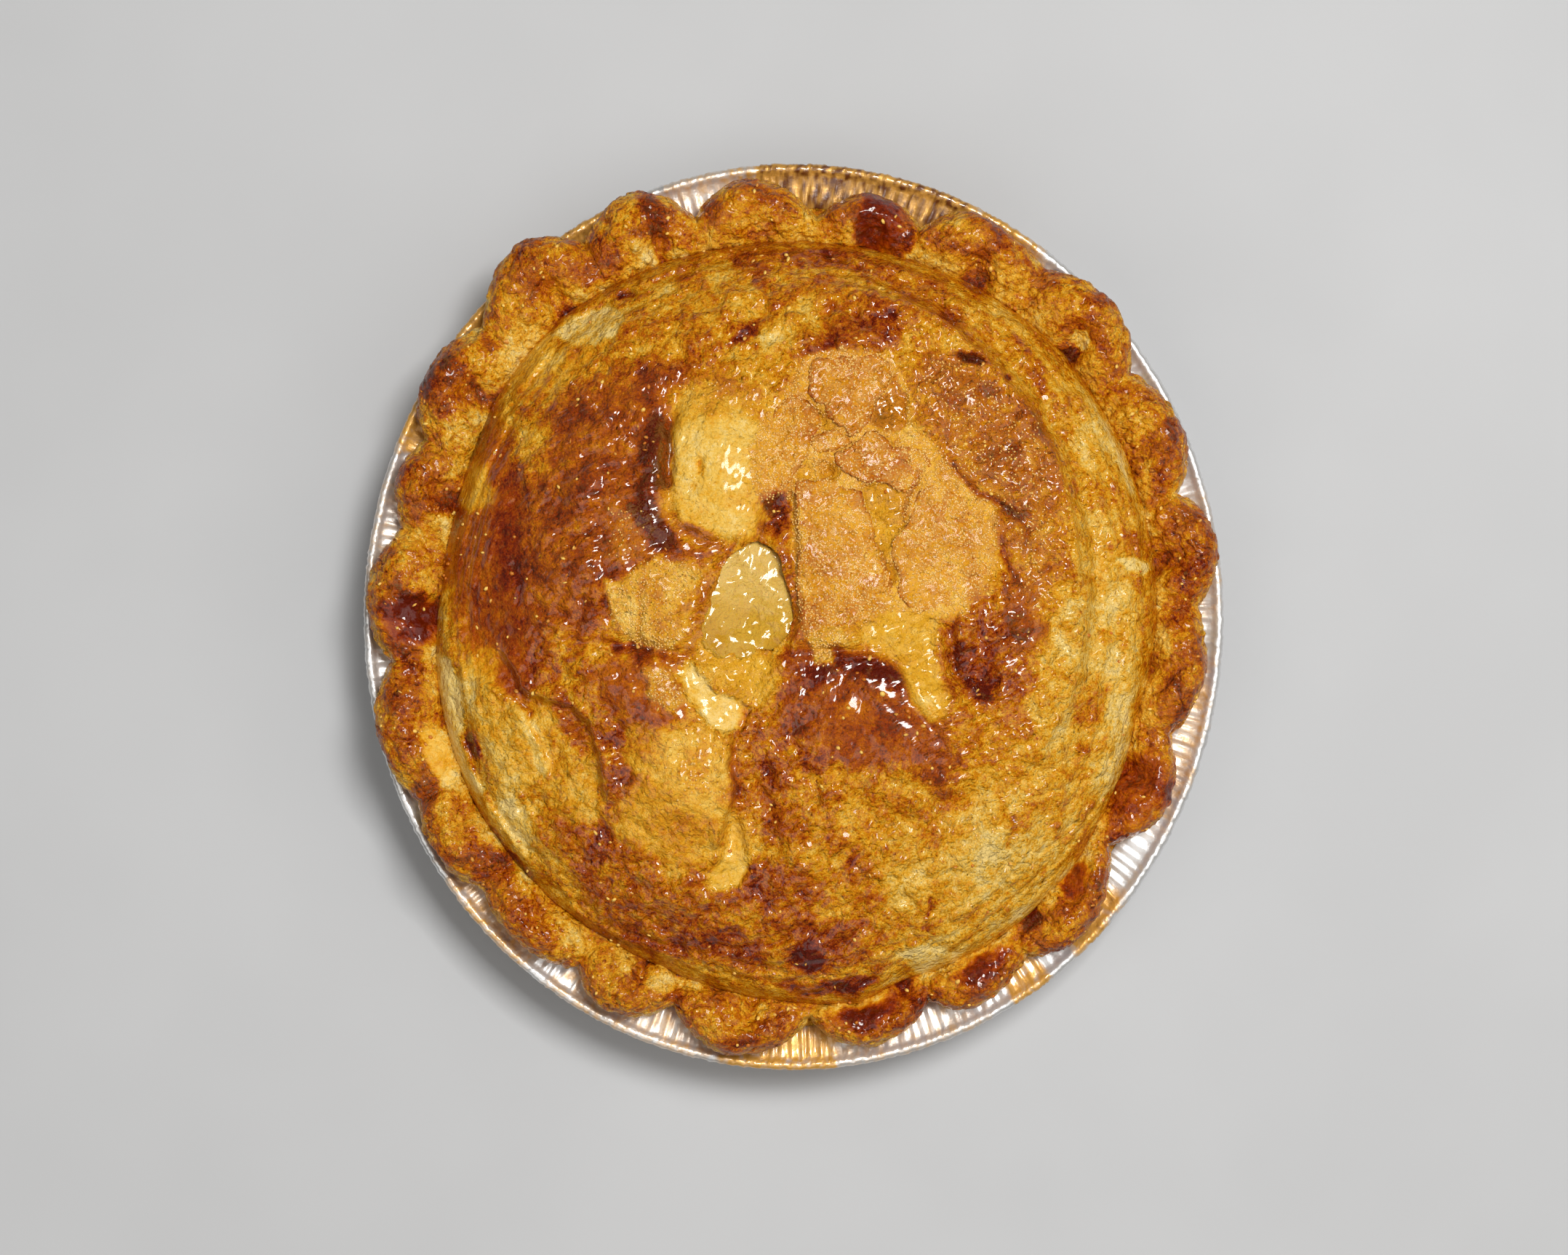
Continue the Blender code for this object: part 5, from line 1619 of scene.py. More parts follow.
# How brown the edge is, painted over its even browning, with painted shade in the creases,
# grooves and holes at the seam: the angle in degrees, the share of the way out, half sizes in both,
# softness and level.
EDGE_BROWNING = {
    "tip at the right": (9, 0.62, 7, 0.22, 0.9, 0.64),
    "right dark tips": (3, 0.50, 5, 0.30, 0.9, 0.64),
    "right red spots": (21, 0.55, 4, 0.25, 0.9, 0.62),
    "right golden pillow": (33, 0.30, 5, 0.30, 0.9, 0.46),
    "upper right tip": (43, 0.75, 6, 0.25, 0.9, 0.60),
    "upper right speckle": (46, 0.45, 4, 0.25, 0.9, 0.58),
    "shade in the hole by the lid": (42, 0.10, 1.1, 0.10, 0.5, 0.98),
    "pale flap": (42, 0.30, 1.6, 0.10, 0.6, 0.10),
    "upper right gold": (56, 0.35, 5, 0.30, 0.9, 0.42),
    "shade by the flap": (60.5, 0.12, 1.4, 0.14, 0.6, 0.80),
    "back right tip": (65, 0.70, 5, 0.25, 0.9, 0.54),
    "back syrup": (77, 0.50, 3.4, 0.58, 0.9, 0.90),
    "back syrup edge": (73.5, 0.40, 2.0, 0.40, 0.8, 0.84),
    "back pillow": (87, 0.30, 5, 0.30, 0.9, 0.40),
    "back cream": (92, 0.35, 4, 0.25, 0.7, 0.36),
    "back tip": (98, 0.70, 5, 0.22, 0.9, 0.62),
    "back gold": (103, 0.30, 6, 0.25, 0.9, 0.46),
    "shade in the back left crack": (110.5, 0.45, 0.9, 0.50, 0.6, 0.78),
    "back left pale": (115, 0.22, 3.0, 0.22, 0.8, 0.24),
    "back left speckle": (121, 0.50, 5, 0.35, 0.8, 0.68),
    "back left tip": (129, 0.78, 6, 0.22, 0.8, 0.60),
    "back left gold": (136, 0.40, 4, 0.30, 0.9, 0.48),
    "shade in the back left groove": (128, 0.20, 1.2, 0.25, 0.7, 0.62),
    "left back red": (147.5, 0.62, 2.6, 0.20, 0.8, 0.66),
    "left back pale": (142, 0.25, 3.4, 0.24, 0.8, 0.26),
    "left gold": (153, 0.30, 4, 0.28, 0.8, 0.34),
    "left red groove and its shade": (163, 0.15, 1.8, 0.24, 0.7, 0.86),
    "left brown": (160, 0.60, 5, 0.25, 0.9, 0.60),
    "left pillow": (171, 0.28, 3.5, 0.26, 0.8, 0.54),
    "left cream": (174.5, 0.18, 2.2, 0.16, 0.7, 0.34),
    "left syrup": (180.5, 0.32, 3.4, 0.40, 0.7, 0.97),
    "left syrup, outside": (183, 0.60, 2.6, 0.25, 0.8, 0.82),
    "left front brown": (189, 0.50, 4, 0.30, 0.9, 0.62),
    "left flap": (200.5, 0.28, 4.6, 0.20, 0.5, 0.30),
    "left flap tear": (204, 0.32, 1.5, 0.20, 0.5, 0.16),
    "left front red": (204.5, 0.70, 2.6, 0.22, 0.8, 0.78),
    "left front gold": (210, 0.40, 4, 0.35, 0.9, 0.50),
    "front left brown": (219, 0.45, 5, 0.35, 0.9, 0.70),
    "front left tip": (228, 0.55, 5, 0.35, 0.9, 0.62),
    "front left pale": (234, 0.25, 2.5, 0.20, 0.8, 0.30),
    "front tip": (243, 0.70, 6, 0.25, 0.9, 0.60),
    "front pale": (250, 0.30, 4, 0.22, 0.8, 0.28),
    "front gold": (258, 0.40, 5, 0.35, 0.9, 0.58),
    "front cream": (270, 0.30, 4, 0.25, 0.9, 0.54),
    "front syrup": (281, 0.35, 5.0, 0.24, 0.8, 0.88),
    "shade in the front groove": (287.5, 0.15, 1.8, 0.24, 0.6, 0.95),
    "front right gloss": (300, 0.36, 4.0, 0.24, 0.8, 0.86),
    "front right tip": (296, 0.72, 5, 0.22, 0.9, 0.66),
    "shade in the right front hollow": (309.5, 0.14, 1.6, 0.20, 0.6, 0.94),
    "right front gold": (313, 0.55, 4, 0.30, 0.9, 0.56),
    "right front burn": (318.5, 0.24, 2.4, 0.20, 0.7, 0.84),
    "right glossy brown": (334, 0.42, 6.5, 0.48, 0.7, 0.80),
    "right glossy tip": (330, 0.70, 5, 0.20, 0.9, 0.66),
    "right gold": (347, 0.35, 4, 0.30, 0.9, 0.54),
    "right brown": (354, 0.55, 4, 0.30, 0.9, 0.64),
    "front left pale pillow": (238, 0.30, 4, 0.24, 0.9, 0.42),
    "back left pillow": (137, 0.25, 4, 0.22, 0.9, 0.22),
    "right brown pillow": (14, 0.40, 4, 0.30, 0.9, 0.66),
}
EDGE_GLOSS = {
    "back syrup": (77, 0.50, 3.6, 0.60, 0.5, 1.0),
    "left syrup": (180.5, 0.35, 3.6, 0.45, 0.5, 1.0),
    "left flap": (200.5, 0.28, 4.6, 0.20, 0.5, 0.9),
    "front syrup": (281, 0.35, 5.6, 0.28, 0.6, 0.9),
    "front right gloss": (300, 0.36, 4.4, 0.28, 0.6, 0.9),
    "right burn": (318.5, 0.26, 3.2, 0.26, 0.5, 0.7),
    "right glossy brown": (334, 0.42, 6.5, 0.48, 0.7, 0.55),
}

EDGE_RIDGE = 0.62  # share of the way out at which the edge is highest
EDGE_ROUNDNESS = 1.9
RIDGE_DIP = 4.2  # the ridge is this much lower in a notch, in millimetres
EDGE_FOOT = 2.4  # the edge rests on the tin this far inside its reach, in millimetres
EDGE_BELLY = 3.4  # and is widest this high above that
FOIL_GAP = 0.6
EDGE_PEBBLE_MEAN = 0.4
FLAW_WIDTH = 0.035
FLAW_DEPTH = 0.75
RIDGE_FULLNESS = 0.85  # the less, the rounder the outside, the pillows and the creases are
PILLOW_FULLNESS = 0.48
PINCH_FULLNESS = 1.5
EDGE_ROWS_UNDER = 5
EDGE_ROWS_OUT = 18
EDGE_ROWS_IN = 30
EDGE_BAKE = 0.52  # the edge's even browning, and what is added or taken off by its shape
TIP_BROWNER = 0.07
PILLOW_PALER = 0.26
# painted shade in the pinched creases of the edge
CREASE_SHADE = 0.24
OUTSIDE_PALER = 0.12
# browning and painted shade in the sunk tears of the edge
FLAW_BROWNING_AND_SHADE = 0.16
# browning and painted shade in the seam where the edge meets the lid
EDGE_SEAM_SHADE_AND_BROWNING = 0.12


def edge_reach(degrees):
    """How far out the edge reaches, and 1 at a crimp's tip to 0 in a notch."""
    turning = [(tip, reach, 1.0) for tip, reach, _, _ in CRIMPS]
    turning += [(notch, reach, 0.0) for _, _, notch, reach in CRIMPS]
    turning.sort()
    last, first = turning[-1], turning[0]
    turning = [(last[0] - 360, *last[1:]), *turning, (first[0] + 360, *first[1:])]
    angles, reaches, tips = (np.array(column) for column in zip(*turning))
    full = np.where(degrees % 360 < angles[0], degrees % 360 + 360, degrees % 360)
    after = np.clip(np.searchsorted(angles, full), 1, len(angles) - 1)
    part = (full - angles[after - 1]) / (angles[after] - angles[after - 1])
    part = np.where(tips[after - 1] > 0.5, part**EDGE_ROUNDNESS, 1 - (1 - part) ** EDGE_ROUNDNESS)
    reach = reaches[after - 1] + (reaches[after] - reaches[after - 1]) * part
    return reach, tips[after - 1] + (tips[after] - tips[after - 1]) * part


def crease_depth(degrees, outward):
    """How deep the edge's inner side is pinched in, from 0 to 1."""
    depth = np.zeros(np.broadcast(degrees, outward).shape)
    for middle, half, deep, lean in CREASES:
        away = within_turn(degrees - middle - lean * outward)
        depth = np.maximum(depth, deep * bell(away / half))
    return depth


def foil_height(radius):
    """The height in millimetres of the foil's upper side under the edge."""
    foil = bpy.context.scene.pie_tin.foil / MM
    top = WALL_TOP_HEIGHT / MM + foil
    bead = BEAD_CENTRE_RADIUS / MM - 1.2 * BEAD_RADIUS / MM
    radii = (BASE_RADIUS / MM, WALL_TOP_RADIUS / MM, bead - 0.6, bead)
    heights = (foil, top, BEAD_CENTRE_HEIGHT / MM + foil, (BEAD_CENTRE_HEIGHT + BEAD_RADIUS) / MM)
    return np.interp(radius, radii, heights)


def edge_sections(degrees):
    """The lower crust's rings: radii and heights in millimetres, and how far out they are."""
    reach, tip = edge_reach(degrees)
    seam = seam_radius(degrees) - 0.8
    ridge = RIDGE_HEIGHT / MM - RIDGE_DIP * (1 - tip)
    foot = np.maximum(reach - EDGE_FOOT, WALL_TOP_RADIUS / MM + 0.4)
    foot_height = foil_height(foot) + FOIL_GAP
    belly = foot_height + EDGE_BELLY
    bend = np.full_like(reach, WALL_TOP_RADIUS / MM - 0.8)
    flat = np.ones_like(reach)
    middle = (bend + foot) / 2
    rings = [
        (40 * flat, CASE_UNDERSIDE / MM * flat),
        ((BASE_RADIUS / MM - 2.8) * flat, CASE_UNDERSIDE / MM * flat),
        (bend, foil_height(bend) + 0.8),
        (middle, np.maximum(foil_height(middle), foot_height - 0.9) + FOIL_GAP),
    ]
    outward = [0.8, 0.8, 0.9, 0.95]
    for step in range(EDGE_ROWS_UNDER):
        turn = math.pi / 2 * step / EDGE_ROWS_UNDER
        radius = foot + (reach - foot) * math.sin(turn)
        rings.append((radius, belly - (belly - foot_height) * math.cos(turn)))
        outward.append(1.0)
    for step in range(EDGE_ROWS_OUT):
        turn = math.pi / 2 * step / EDGE_ROWS_OUT
        part = EDGE_RIDGE + (1 - EDGE_RIDGE) * math.cos(turn)
        height = belly + (ridge - belly) * math.sin(turn) ** RIDGE_FULLNESS
        rings.append((seam + part * (reach - seam), height))
        outward.append(part)
    low = LID_EDGE_HEIGHT / MM - 0.5
    for step in range(EDGE_ROWS_IN + 1):
        part = EDGE_RIDGE * (1 - step / EDGE_ROWS_IN)
        crease = crease_depth(degrees, part)
        pillow = math.sin(math.pi / 2 * part / EDGE_RIDGE) ** PILLOW_FULLNESS
        pinch = (part / EDGE_RIDGE) ** PINCH_FULLNESS
        height = low + (ridge - low) * (pillow + (pinch - pillow) * crease)
        rings.append((seam + part * (reach - seam), height))
        outward.append(part)
    rings += [
        (np.minimum(seam, SEAM_RADIUS / MM), CAVITY_TOP_HEIGHT / MM * flat),
        (CASE_FLOOR_RADIUS / MM * flat, (CASE_FLOOR / MM + FLOOR_BEVEL) * flat),
        ((CASE_FLOOR_RADIUS / MM - FLOOR_BEVEL) * flat, CASE_FLOOR / MM * flat),
    ]
    outward += [0.0, 0.0, 0.0]
    radii = np.array([ring[0] for ring in rings])
    heights = np.array([ring[1] for ring in rings])
    return radii, heights, np.array(outward)


def surface_normals(grid):
    """The outward direction at each point of a grid of rings, whose columns run round."""
    around = np.roll(grid, -1, axis=1) - np.roll(grid, 1, axis=1)
    along = np.gradient(grid, axis=0)
    normal = np.cross(around, along)
    return normal / np.maximum(np.linalg.norm(normal, axis=2, keepdims=True), 1e-9)


def edge_mesh(segments):
    """The lower crust: a case in the tin and its crimped edge, as one closed shell."""
    degrees = np.arange(segments) * 360 / segments
    radii, heights, outward = edge_sections(degrees)
    across, along = squeeze(radii, np.radians(degrees)[None, :])
    grid = np.stack((across, along, heights), axis=-1)
    normal = surface_normals(grid)
    shown = np.zeros(len(outward))
    shown[5:-4] = 1.0
    points = grid.reshape(-1, 3)
    gloss = paint_edge(edge_places(degrees, outward), EDGE_GLOSS, 0.0)
    rough = 1 - 0.8 * gloss
    large = pebbles(warped(points, 4, 1.3, 83), 4.2, 84) - EDGE_PEBBLE_MEAN
    small = pebbles(warped(points, 2, 0.6, 85), 2.0, 86) - EDGE_PEBBLE_MEAN
    swell = 1.0 * noise(points, 8.0, 81, 3) + 0.8 * large * rough
    swell += 0.45 * small * rough + 0.40 * noise(points, 2.0, 87, 3)
    torn = np.abs(noise(warped(points, 5, 1.5, 88), 6.5, 89, 2))
    flaw = bell(torn / FLAW_WIDTH) * ease(noise(points, 14, 91) * 3 + 0.4)
    swell -= FLAW_DEPTH * flaw * rough
    moved = (swell.reshape(grid.shape[:2]) * shown[:, None])[..., None] * normal
    return rings_mesh(grid + moved, edge_marks(degrees, outward, points, flaw, gloss))


def edge_places(degrees, outward):
    """Each point's angle and share out, as the edge's tables give them."""
    around = np.broadcast_to(degrees[None, :], (len(outward), len(degrees)))
    out = np.broadcast_to(outward[:, None], around.shape)
    return np.column_stack((around.ravel(), out.ravel()))


def paint_edge(places, table, level):
    """Paints the edge's patches one over the other, round the turn too."""
    for middle, out, half, half_out, soft, value in table.values():
        away = np.hypot(within_turn(places[:, 0] - middle) / half, (places[:, 1] - out) / half_out)
        level = level + (value - level) * ease((1 + soft / 2 - away) / soft)
    return level


def edge_marks(degrees, outward, points, flaw, gloss):
    """What the edge's material reads for each point."""
    places = edge_places(degrees, outward)
    tip = edge_reach(places[:, 0])[1]
    crease = crease_depth(places[:, 0], places[:, 1])
    uneven = noise(points, 8.0, 93, 3)
    inner = ease((0.55 - places[:, 1]) / 0.4)
    outer = ease((places[:, 1] - 0.80) / 0.2)
    bake = EDGE_BAKE + TIP_BROWNER * tip * (1 - inner) - PILLOW_PALER * inner * (1 - crease)
    # Painted shade: the pinched creases are painted darker.
    bake = bake + CREASE_SHADE * crease - OUTSIDE_PALER * outer
    bake += 0.26 * uneven + 0.22 * noise(points, 2.6, 98, 3)
    torn = places.copy()
    torn[:, 0] += 2.4 * noise(points, 5.0, 94, 4)
    torn[:, 1] += 0.18 * noise(points, 5.0, 97, 4)
    # Tears are painted darker: browning and painted shade in them.
    bake = paint_edge(torn, EDGE_BROWNING, bake) + FLAW_BROWNING_AND_SHADE * flaw
    # Browning and painted shade in the seam where the edge meets the lid.
    bake += EDGE_SEAM_SHADE_AND_BROWNING * ease(1 - places[:, 1] / 0.10)
    return {
        "bake": bake,
        "sugar": 0.25 * ease(uneven + 0.4) * (1 - gloss),
        "juice": np.zeros(len(points)),
        "smooth": gloss,
    }


def rings_mesh(grid, marks):
    """A closed shell from rings of points, closed by a middle point at either end."""
    rows, columns = grid.shape[:2]
    number = np.arange(rows * columns).reshape(rows, columns)
    beside = np.roll(number, -1, axis=1)
    faces = [np.stack((number[:-1], beside[:-1], beside[1:]), -1).reshape(-1, 3)]
    faces.append(np.stack((number[:-1], beside[1:], number[1:]), -1).reshape(-1, 3))
    first, last = rows * columns, rows * columns + 1
    faces.append(np.stack((np.full(columns, first), beside[0], number[0]), -1))
    faces.append(np.stack((np.full(columns, last), number[-1], beside[-1]), -1))
    middles = [[0, 0, grid[0, 0, 2]], [0, 0, grid[-1, 0, 2]]]
    mesh = mesh_of(np.concatenate((grid.reshape(-1, 3), middles)) * MM, np.concatenate(faces))
    for name, values in marks.items():
        store(mesh, name, np.concatenate((values, [values[0], values[-1]])))
    return mesh


class PIE_OT_crimped_edge(bpy.types.Operator):
    """Builds the lower crust with its crimped edge"""

    bl_idname = "pie.crimped_edge"
    bl_label = "Crimped Edge"

    def execute(self, context):
        look = context.scene.pie_crust
        material = crust_material("baked_edge", look, 0.28, 1.25, 0.5)
        add_piece("crimped_lower_crust", edge_mesh(look.edge_segments), material, "bottom_crust")
        return {"FINISHED"}


# ---- Loose slabs of crust -----------------------------------------------------------------------------

# Sugared slabs that broke up on the lid: the outline in millimetres, how far the slab
# stands over the lid, how much it curls up at its edge, how baked it is, and its slope
# towards +X and +Y.
SLABS = {
    "back_flake": (((4, 62), (5, 65), (10, 66), (17, 65.5), (21, 66.5), (24.5, 64), (24.5, 60), (23, 56.8),
        (20.6, 54.6), (20.3, 51.5), (19, 49), (16.5, 46.6), (14, 44.8), (12.4, 47.6), (10.2, 48.6),
        (8.3, 50.5), (7.8, 53), (5.4, 54.2), (3.4, 56.4), (3.8, 59.4)), 1.0, 0.25, 0.50, (0.0, -0.03)),
    "small_flake": (((4.5, 45.4), (7, 46), (10, 47), (12.5, 45.2), (15, 43.9), (12.4, 42.4), (9.6, 41.5),
        (5.2, 41), (4, 43)), 0.9, 0.2, 0.48, (0.0, 0.03)),
    "middle_slab": (((9.8, 40.8), (13, 42), (16, 44), (18.5, 46.4), (21, 46.6), (23.2, 45), (25, 42.6),
        (28, 42.8), (33, 42), (34.5, 38), (32, 35.4), (31, 33), (28.8, 31.8), (26, 31.4), (24, 33),
        (20.6, 34), (17.6, 33.4), (15.8, 34.8), (13, 36), (11.8, 37.4), (10.2, 38.6)),
        0.9, 0.25, 0.56, (-0.05, 0.02)),
    "left_slab": (((-8.6, 31), (-7.4, 28.8), (-5.6, 29.4), (-3.2, 31.2), (-1.2, 33.2), (0.4, 35.8),
        (1.4, 37.8), (3.4, 40.6), (4, 42.4), (4.2, 44.8), (5.6, 46.4), (6.8, 48.6), (6.2, 51.6),
        (3.6, 54.2), (0.8, 56), (-2.4, 55), (-6, 50), (-9.6, 44), (-10.6, 37)),
        0.6, 0.15, 0.45, (0.08, 0.0)),
    "front_left_slab": (((1.6, -4), (1.4, 1), (0.8, 8), (1.1, 12), (0.9, 15), (2, 18), (0.5, 22), (1, 27),
        (0, 31), (0.6, 33.8), (3, 34.4), (5.6, 33.6), (8, 34.8), (11, 34.4), (12.8, 32.4), (14.4, 32),
        (16.8, 31.4), (18, 28), (19.4, 25), (20.2, 22), (20, 19.4), (21.8, 17), (23, 14), (24, 10.6),
        (25, 7.6), (27, 3), (20, -1), (13, -2.4), (7, -3.4)), 0.8, 0.2, 0.46, (-0.045, 0.01)),
    "right_slab": (((26, 6), (26.4, 10), (25.4, 13), (24.2, 15.4), (25, 19.4), (27.2, 21.6), (28.8, 23.4),
        (29.6, 27), (31, 31), (34, 33.6), (40, 32), (46, 27), (49, 20), (49, 12), (45, 5), (38, 2),
        (30, 1)), 0.5, 0.15, 0.46, (-0.05, 0.0)),
}
SLAB_THICKNESS = 1.5
SLAB_CELL = 0.42
SLAB_ROUGHNESS = 0.6
SLAB_MARGIN = 2  # of the grid round a slab's outline
SLAB_WAVES = 0.25
SLAB_PEBBLES = 0.30
SLAB_GRAIN = 0.22
SLAB_CURL_RUN = 1.6
SLAB_EDGE_DROP = 0.5
SLAB_EDGE_RUN = 0.35
SLAB_SEED = 300
SLAB_SEED_STEP = 31


def slab_mesh(slab, seed):
    """One slab of crust as a closed plate that lies on the lid."""
    outline, stand, curl, baked, slope = slab
    corners = np.array(outline, float)
    low = corners.min(axis=0) - SLAB_MARGIN
    high = corners.max(axis=0) + SLAB_MARGIN
    sizes = np.ceil((high - low) / SLAB_CELL).astype(int) + 1
    steps = (low[axis] + SLAB_CELL * np.arange(sizes[axis]) for axis in (0, 1))
    grid = np.stack(np.meshgrid(*steps, indexing="ij"), axis=-1)

    def outside(places):
        torn = ragged(ragged(places, 4.0, 0.7, seed), 1.3, 0.45, seed + 9)
        return -inside_outline(torn, outline)

    middles = (grid[:-1, :-1] + grid[1:, 1:]) / 2
    kept = outside(middles.reshape(-1, 2)).reshape(middles.shape[:2]) <= 0
    grid = snap_to_edge(grid, kept, outside, 1, 6)
    places = grid.reshape(-1, 2)
    depth = np.maximum(-outside(places), 0)
    spread = level_points(places)
    height = lid_form(places) + lid_waves(places, SLAB_ROUGHNESS) + stand
    leaning = (places - corners.mean(axis=0)) @ np.array(slope)
    height += leaning + SLAB_WAVES * noise(spread, 7.0, seed + 20, 2)
    height += SLAB_PEBBLES * (pebbles(warped(spread, 3, 0.8, seed + 21), 2.6, seed + 22) - 0.4)
    height += SLAB_GRAIN * noise(spread, 1.2, seed + 23, 2)
    height += curl * np.exp(-depth / SLAB_CURL_RUN) - SLAB_EDGE_DROP * bell(depth / SLAB_EDGE_RUN)
    top = np.dstack((grid, height.reshape(grid.shape[:2])))
    under = top[..., 2] - SLAB_THICKNESS
    marks = lid_marks(places)
    patchy = noise(spread, 5.0, seed + 24, 4)
    marks["bake"] = 0.4 * marks["bake"] + 0.6 * baked + 0.05 + 0.16 * patchy
    marks["bake"] += 0.18 * np.exp(-depth / 0.7)
    marks["sugar"] = np.clip(0.8 - 0.4 * patchy, 0, 1)
    marks["juice"] = 0.2 * marks["juice"]
    return shell_mesh(top, under, kept, 1, marks)


def join_meshes(meshes):
    """One mesh from several that keep the same values."""
    points, faces, marks, start = [], [], {}, 0
    for mesh in meshes:
        places = points_of(mesh)
        corners = np.empty(len(mesh.loops), int)
        mesh.loops.foreach_get("vertex_index", corners)
        points.append(places)
        faces.append(corners.reshape(-1, 3) + start)
        start += len(places)
        for name in MARKS:
            if name in mesh.attributes:
                marks.setdefault(name, []).append(mark_of(mesh, name))
    joined = mesh_of(np.concatenate(points), np.concatenate(faces))
    for name, values in marks.items():
        store(joined, name, np.concatenate(values))
    return joined


class PIE_OT_crust_slabs(bpy.types.Operator):
    """Builds the sugared slabs of crust that broke up on the lid"""

    bl_idname = "pie.crust_slabs"
    bl_label = "Crust Slabs"

    def execute(self, context):
        look = context.scene.pie_crust
        seeds = range(SLAB_SEED, SLAB_SEED + SLAB_SEED_STEP * len(SLABS), SLAB_SEED_STEP)
        mesh = join_meshes([slab_mesh(slab, seed) for slab, seed in zip(SLABS.values(), seeds)])
        material = crust_material("sugared_slab", look, 0.34, 0.8)
        add_piece("crust_slabs", mesh, material, None)
        return {"FINISHED"}


# ---- Apple filling --------------------------------------------------------------------------------------

APPLE_SLICES = {
    "left slice": (-16, 5, 3.6, 8.5, -12, 0.7),
    "middle slice": (-10, 10, 2.8, 7.0, 4, 1.1),
    "right slice": (-4.8, 4, 3.2, 7.5, 10, 1.3),
    "front slice": (-12, -6, 6.5, 3.0, 16, 0.6),
}
APPLE_DEPTH = 1.0  # of the apple below the lid's smooth top in the middle, in millimetres
APPLE_LUMPS = 0.75
APPLE_GRAIN = 0.16
APPLE_SLOPE = 1.7  # how much deeper it lies at the right and far side, and higher at the others


FILLING_STRIDE = 4  # cells of the upper side to one cell of the underside


class FillingLook(bpy.types.PropertyGroup):
    """The apple filling."""

    cells: count("Filling Cells", "Faces across the filling, a multiple of four", 280)
    flesh: colour("Flesh", "Cooked apple", 208, 162, 54)
    pale_flesh: colour("Pale Flesh", "Cooked apple where it is pale", 224, 186, 98)
    deep_juice: colour("Deep Juice", "Thick juice between the slices", 190, 134, 26)


def filling_mesh(cells):
    """The filling: a bowl of apple under the lid, which rises into its opening."""
    part, angle = disc_grid(cells)
    radius = closer_outside(part) * (SEAM_RADIUS - FILLING_CLEARANCE) / MM
    grid = np.stack(squeeze(radius, angle), axis=-1)
    places = grid.reshape(-1, 2)
    spread = level_points(places)
    form = lid_form(places)
    low = form - LID_THICKNESS / MM - FILLING_CLEARANCE / MM
    tilt = np.clip((places[:, 0] + 12) / 13 + (places[:, 1] - 3) / 24, -1, 1)
    slices = bumps_height(ragged(places, 6.0, 1.6, 407), APPLE_SLICES)
    raised = form - APPLE_DEPTH - APPLE_SLOPE * tilt + slices
    raised += APPLE_LUMPS * noise(spread, 3.2, 401, 4) + APPLE_GRAIN * noise(spread, 1.0, 405, 2)
    lift = ease((vent_depth(places) + 3.0 - 1.7 * tilt) / (2.4 - 1.2 * tilt))
    height = low + (np.maximum(raised, low) - low) * lift
    top = np.dstack((grid, height.reshape(grid.shape[:2])))
    wall = CASE_FLOOR_RADIUS / MM
    lean = (CAVITY_TOP_HEIGHT - CASE_FLOOR - FLOOR_BEVEL * MM) / (SEAM_RADIUS - CASE_FLOOR_RADIUS)
    slanted = CASE_FLOOR / MM + FLOOR_BEVEL + FILLING_CLEARANCE / MM + lean * (radius - wall + 1)
    under = np.where(radius < wall - FLOOR_BEVEL, CASE_FLOOR / MM + 0.3, slanted)
    kept = np.ones((cells // FILLING_STRIDE, cells // FILLING_STRIDE), bool)
    cloudy = noise(spread, 5.0, 409, 4)
    pale = ease((places[:, 1] - 2) / 12 + 0.3 + 0.35 * tilt + cloudy)
    depth = ease(0.7 - slices / 0.9 + 0.8 * cloudy) * ease((8 - places[:, 1]) / 12)
    under = under[::FILLING_STRIDE, ::FILLING_STRIDE]
    return shell_mesh(top, under, kept, FILLING_STRIDE, {"deep": depth, "pale": pale})


def apple_material(look):
    """Wet cooked apple in thick juice."""
    material, maker = new_material("cooked_apple")
    veins = maker.grain(0.0030, 4.0, 0.6, (1.0, 0.45, 1.0))
    fine = maker.grain(0.0009, 3.0)
    pale = maker.attribute("pale") * maker.ramp(veins, 0.35, 0.65, 0.6, 1.0)
    base = maker.mix(pale, look.flesh, look.pale_flesh)
    base = maker.mix(maker.attribute("deep") * 0.8, base, look.deep_juice)
    bumps = maker.bump(fine + veins * 0.8, 0.0013, 1.0)
    values = {
        "Base Color": base,
        "Roughness": 0.28 + fine * 0.1,
        "Normal": bumps,
        "Coat Weight": 0.6,
        "Coat Roughness": 0.08,
        "Specular IOR Level": 0.0,
        "Subsurface Weight": 0.25,
        "Subsurface Radius": (0.006, 0.003, 0.001),
        "Subsurface Scale": 0.6,
    }
    maker.finish(values)
    return material


class PIE_OT_apple_filling(bpy.types.Operator):
    """Builds the apple filling that shows in the lid's opening"""

    bl_idname = "pie.apple_filling"
    bl_label = "Apple Filling"

    def execute(self, context):
        look = context.scene.pie_filling
        add_piece("apple_filling_mass", filling_mesh(look.cells), apple_material(look), "apple_filling")
        return {"FINISHED"}


# ---- Sugar and crumbs ------------------------------------------------------------------------------


class ScatterLook(bpy.types.PropertyGroup):
    """The grains of sugar and the crumbs that lie on the crust."""

    sugar_density: count("Sugar Density", "Grains to a square metre where it lies thickest", 1400000)
    sugar_width: length("Sugar Width", "Width of the largest grain", 0.00046)
    sugar_colour: colour("Sugar Colour", "Sugar grains on warm crust", 232, 190, 110)
    crumb_density: count("Crumb Density", "Crumbs to a square metre where they lie thickest", 14000)
    crumb_width: length("Crumb Width", "Radius of the largest crumb", 0.0010)
    seed: count("Seed", "Number that the scatter starts from", 7)


CRUMB_SEED_STEP = 10  # so that the crumbs don't follow the sugar


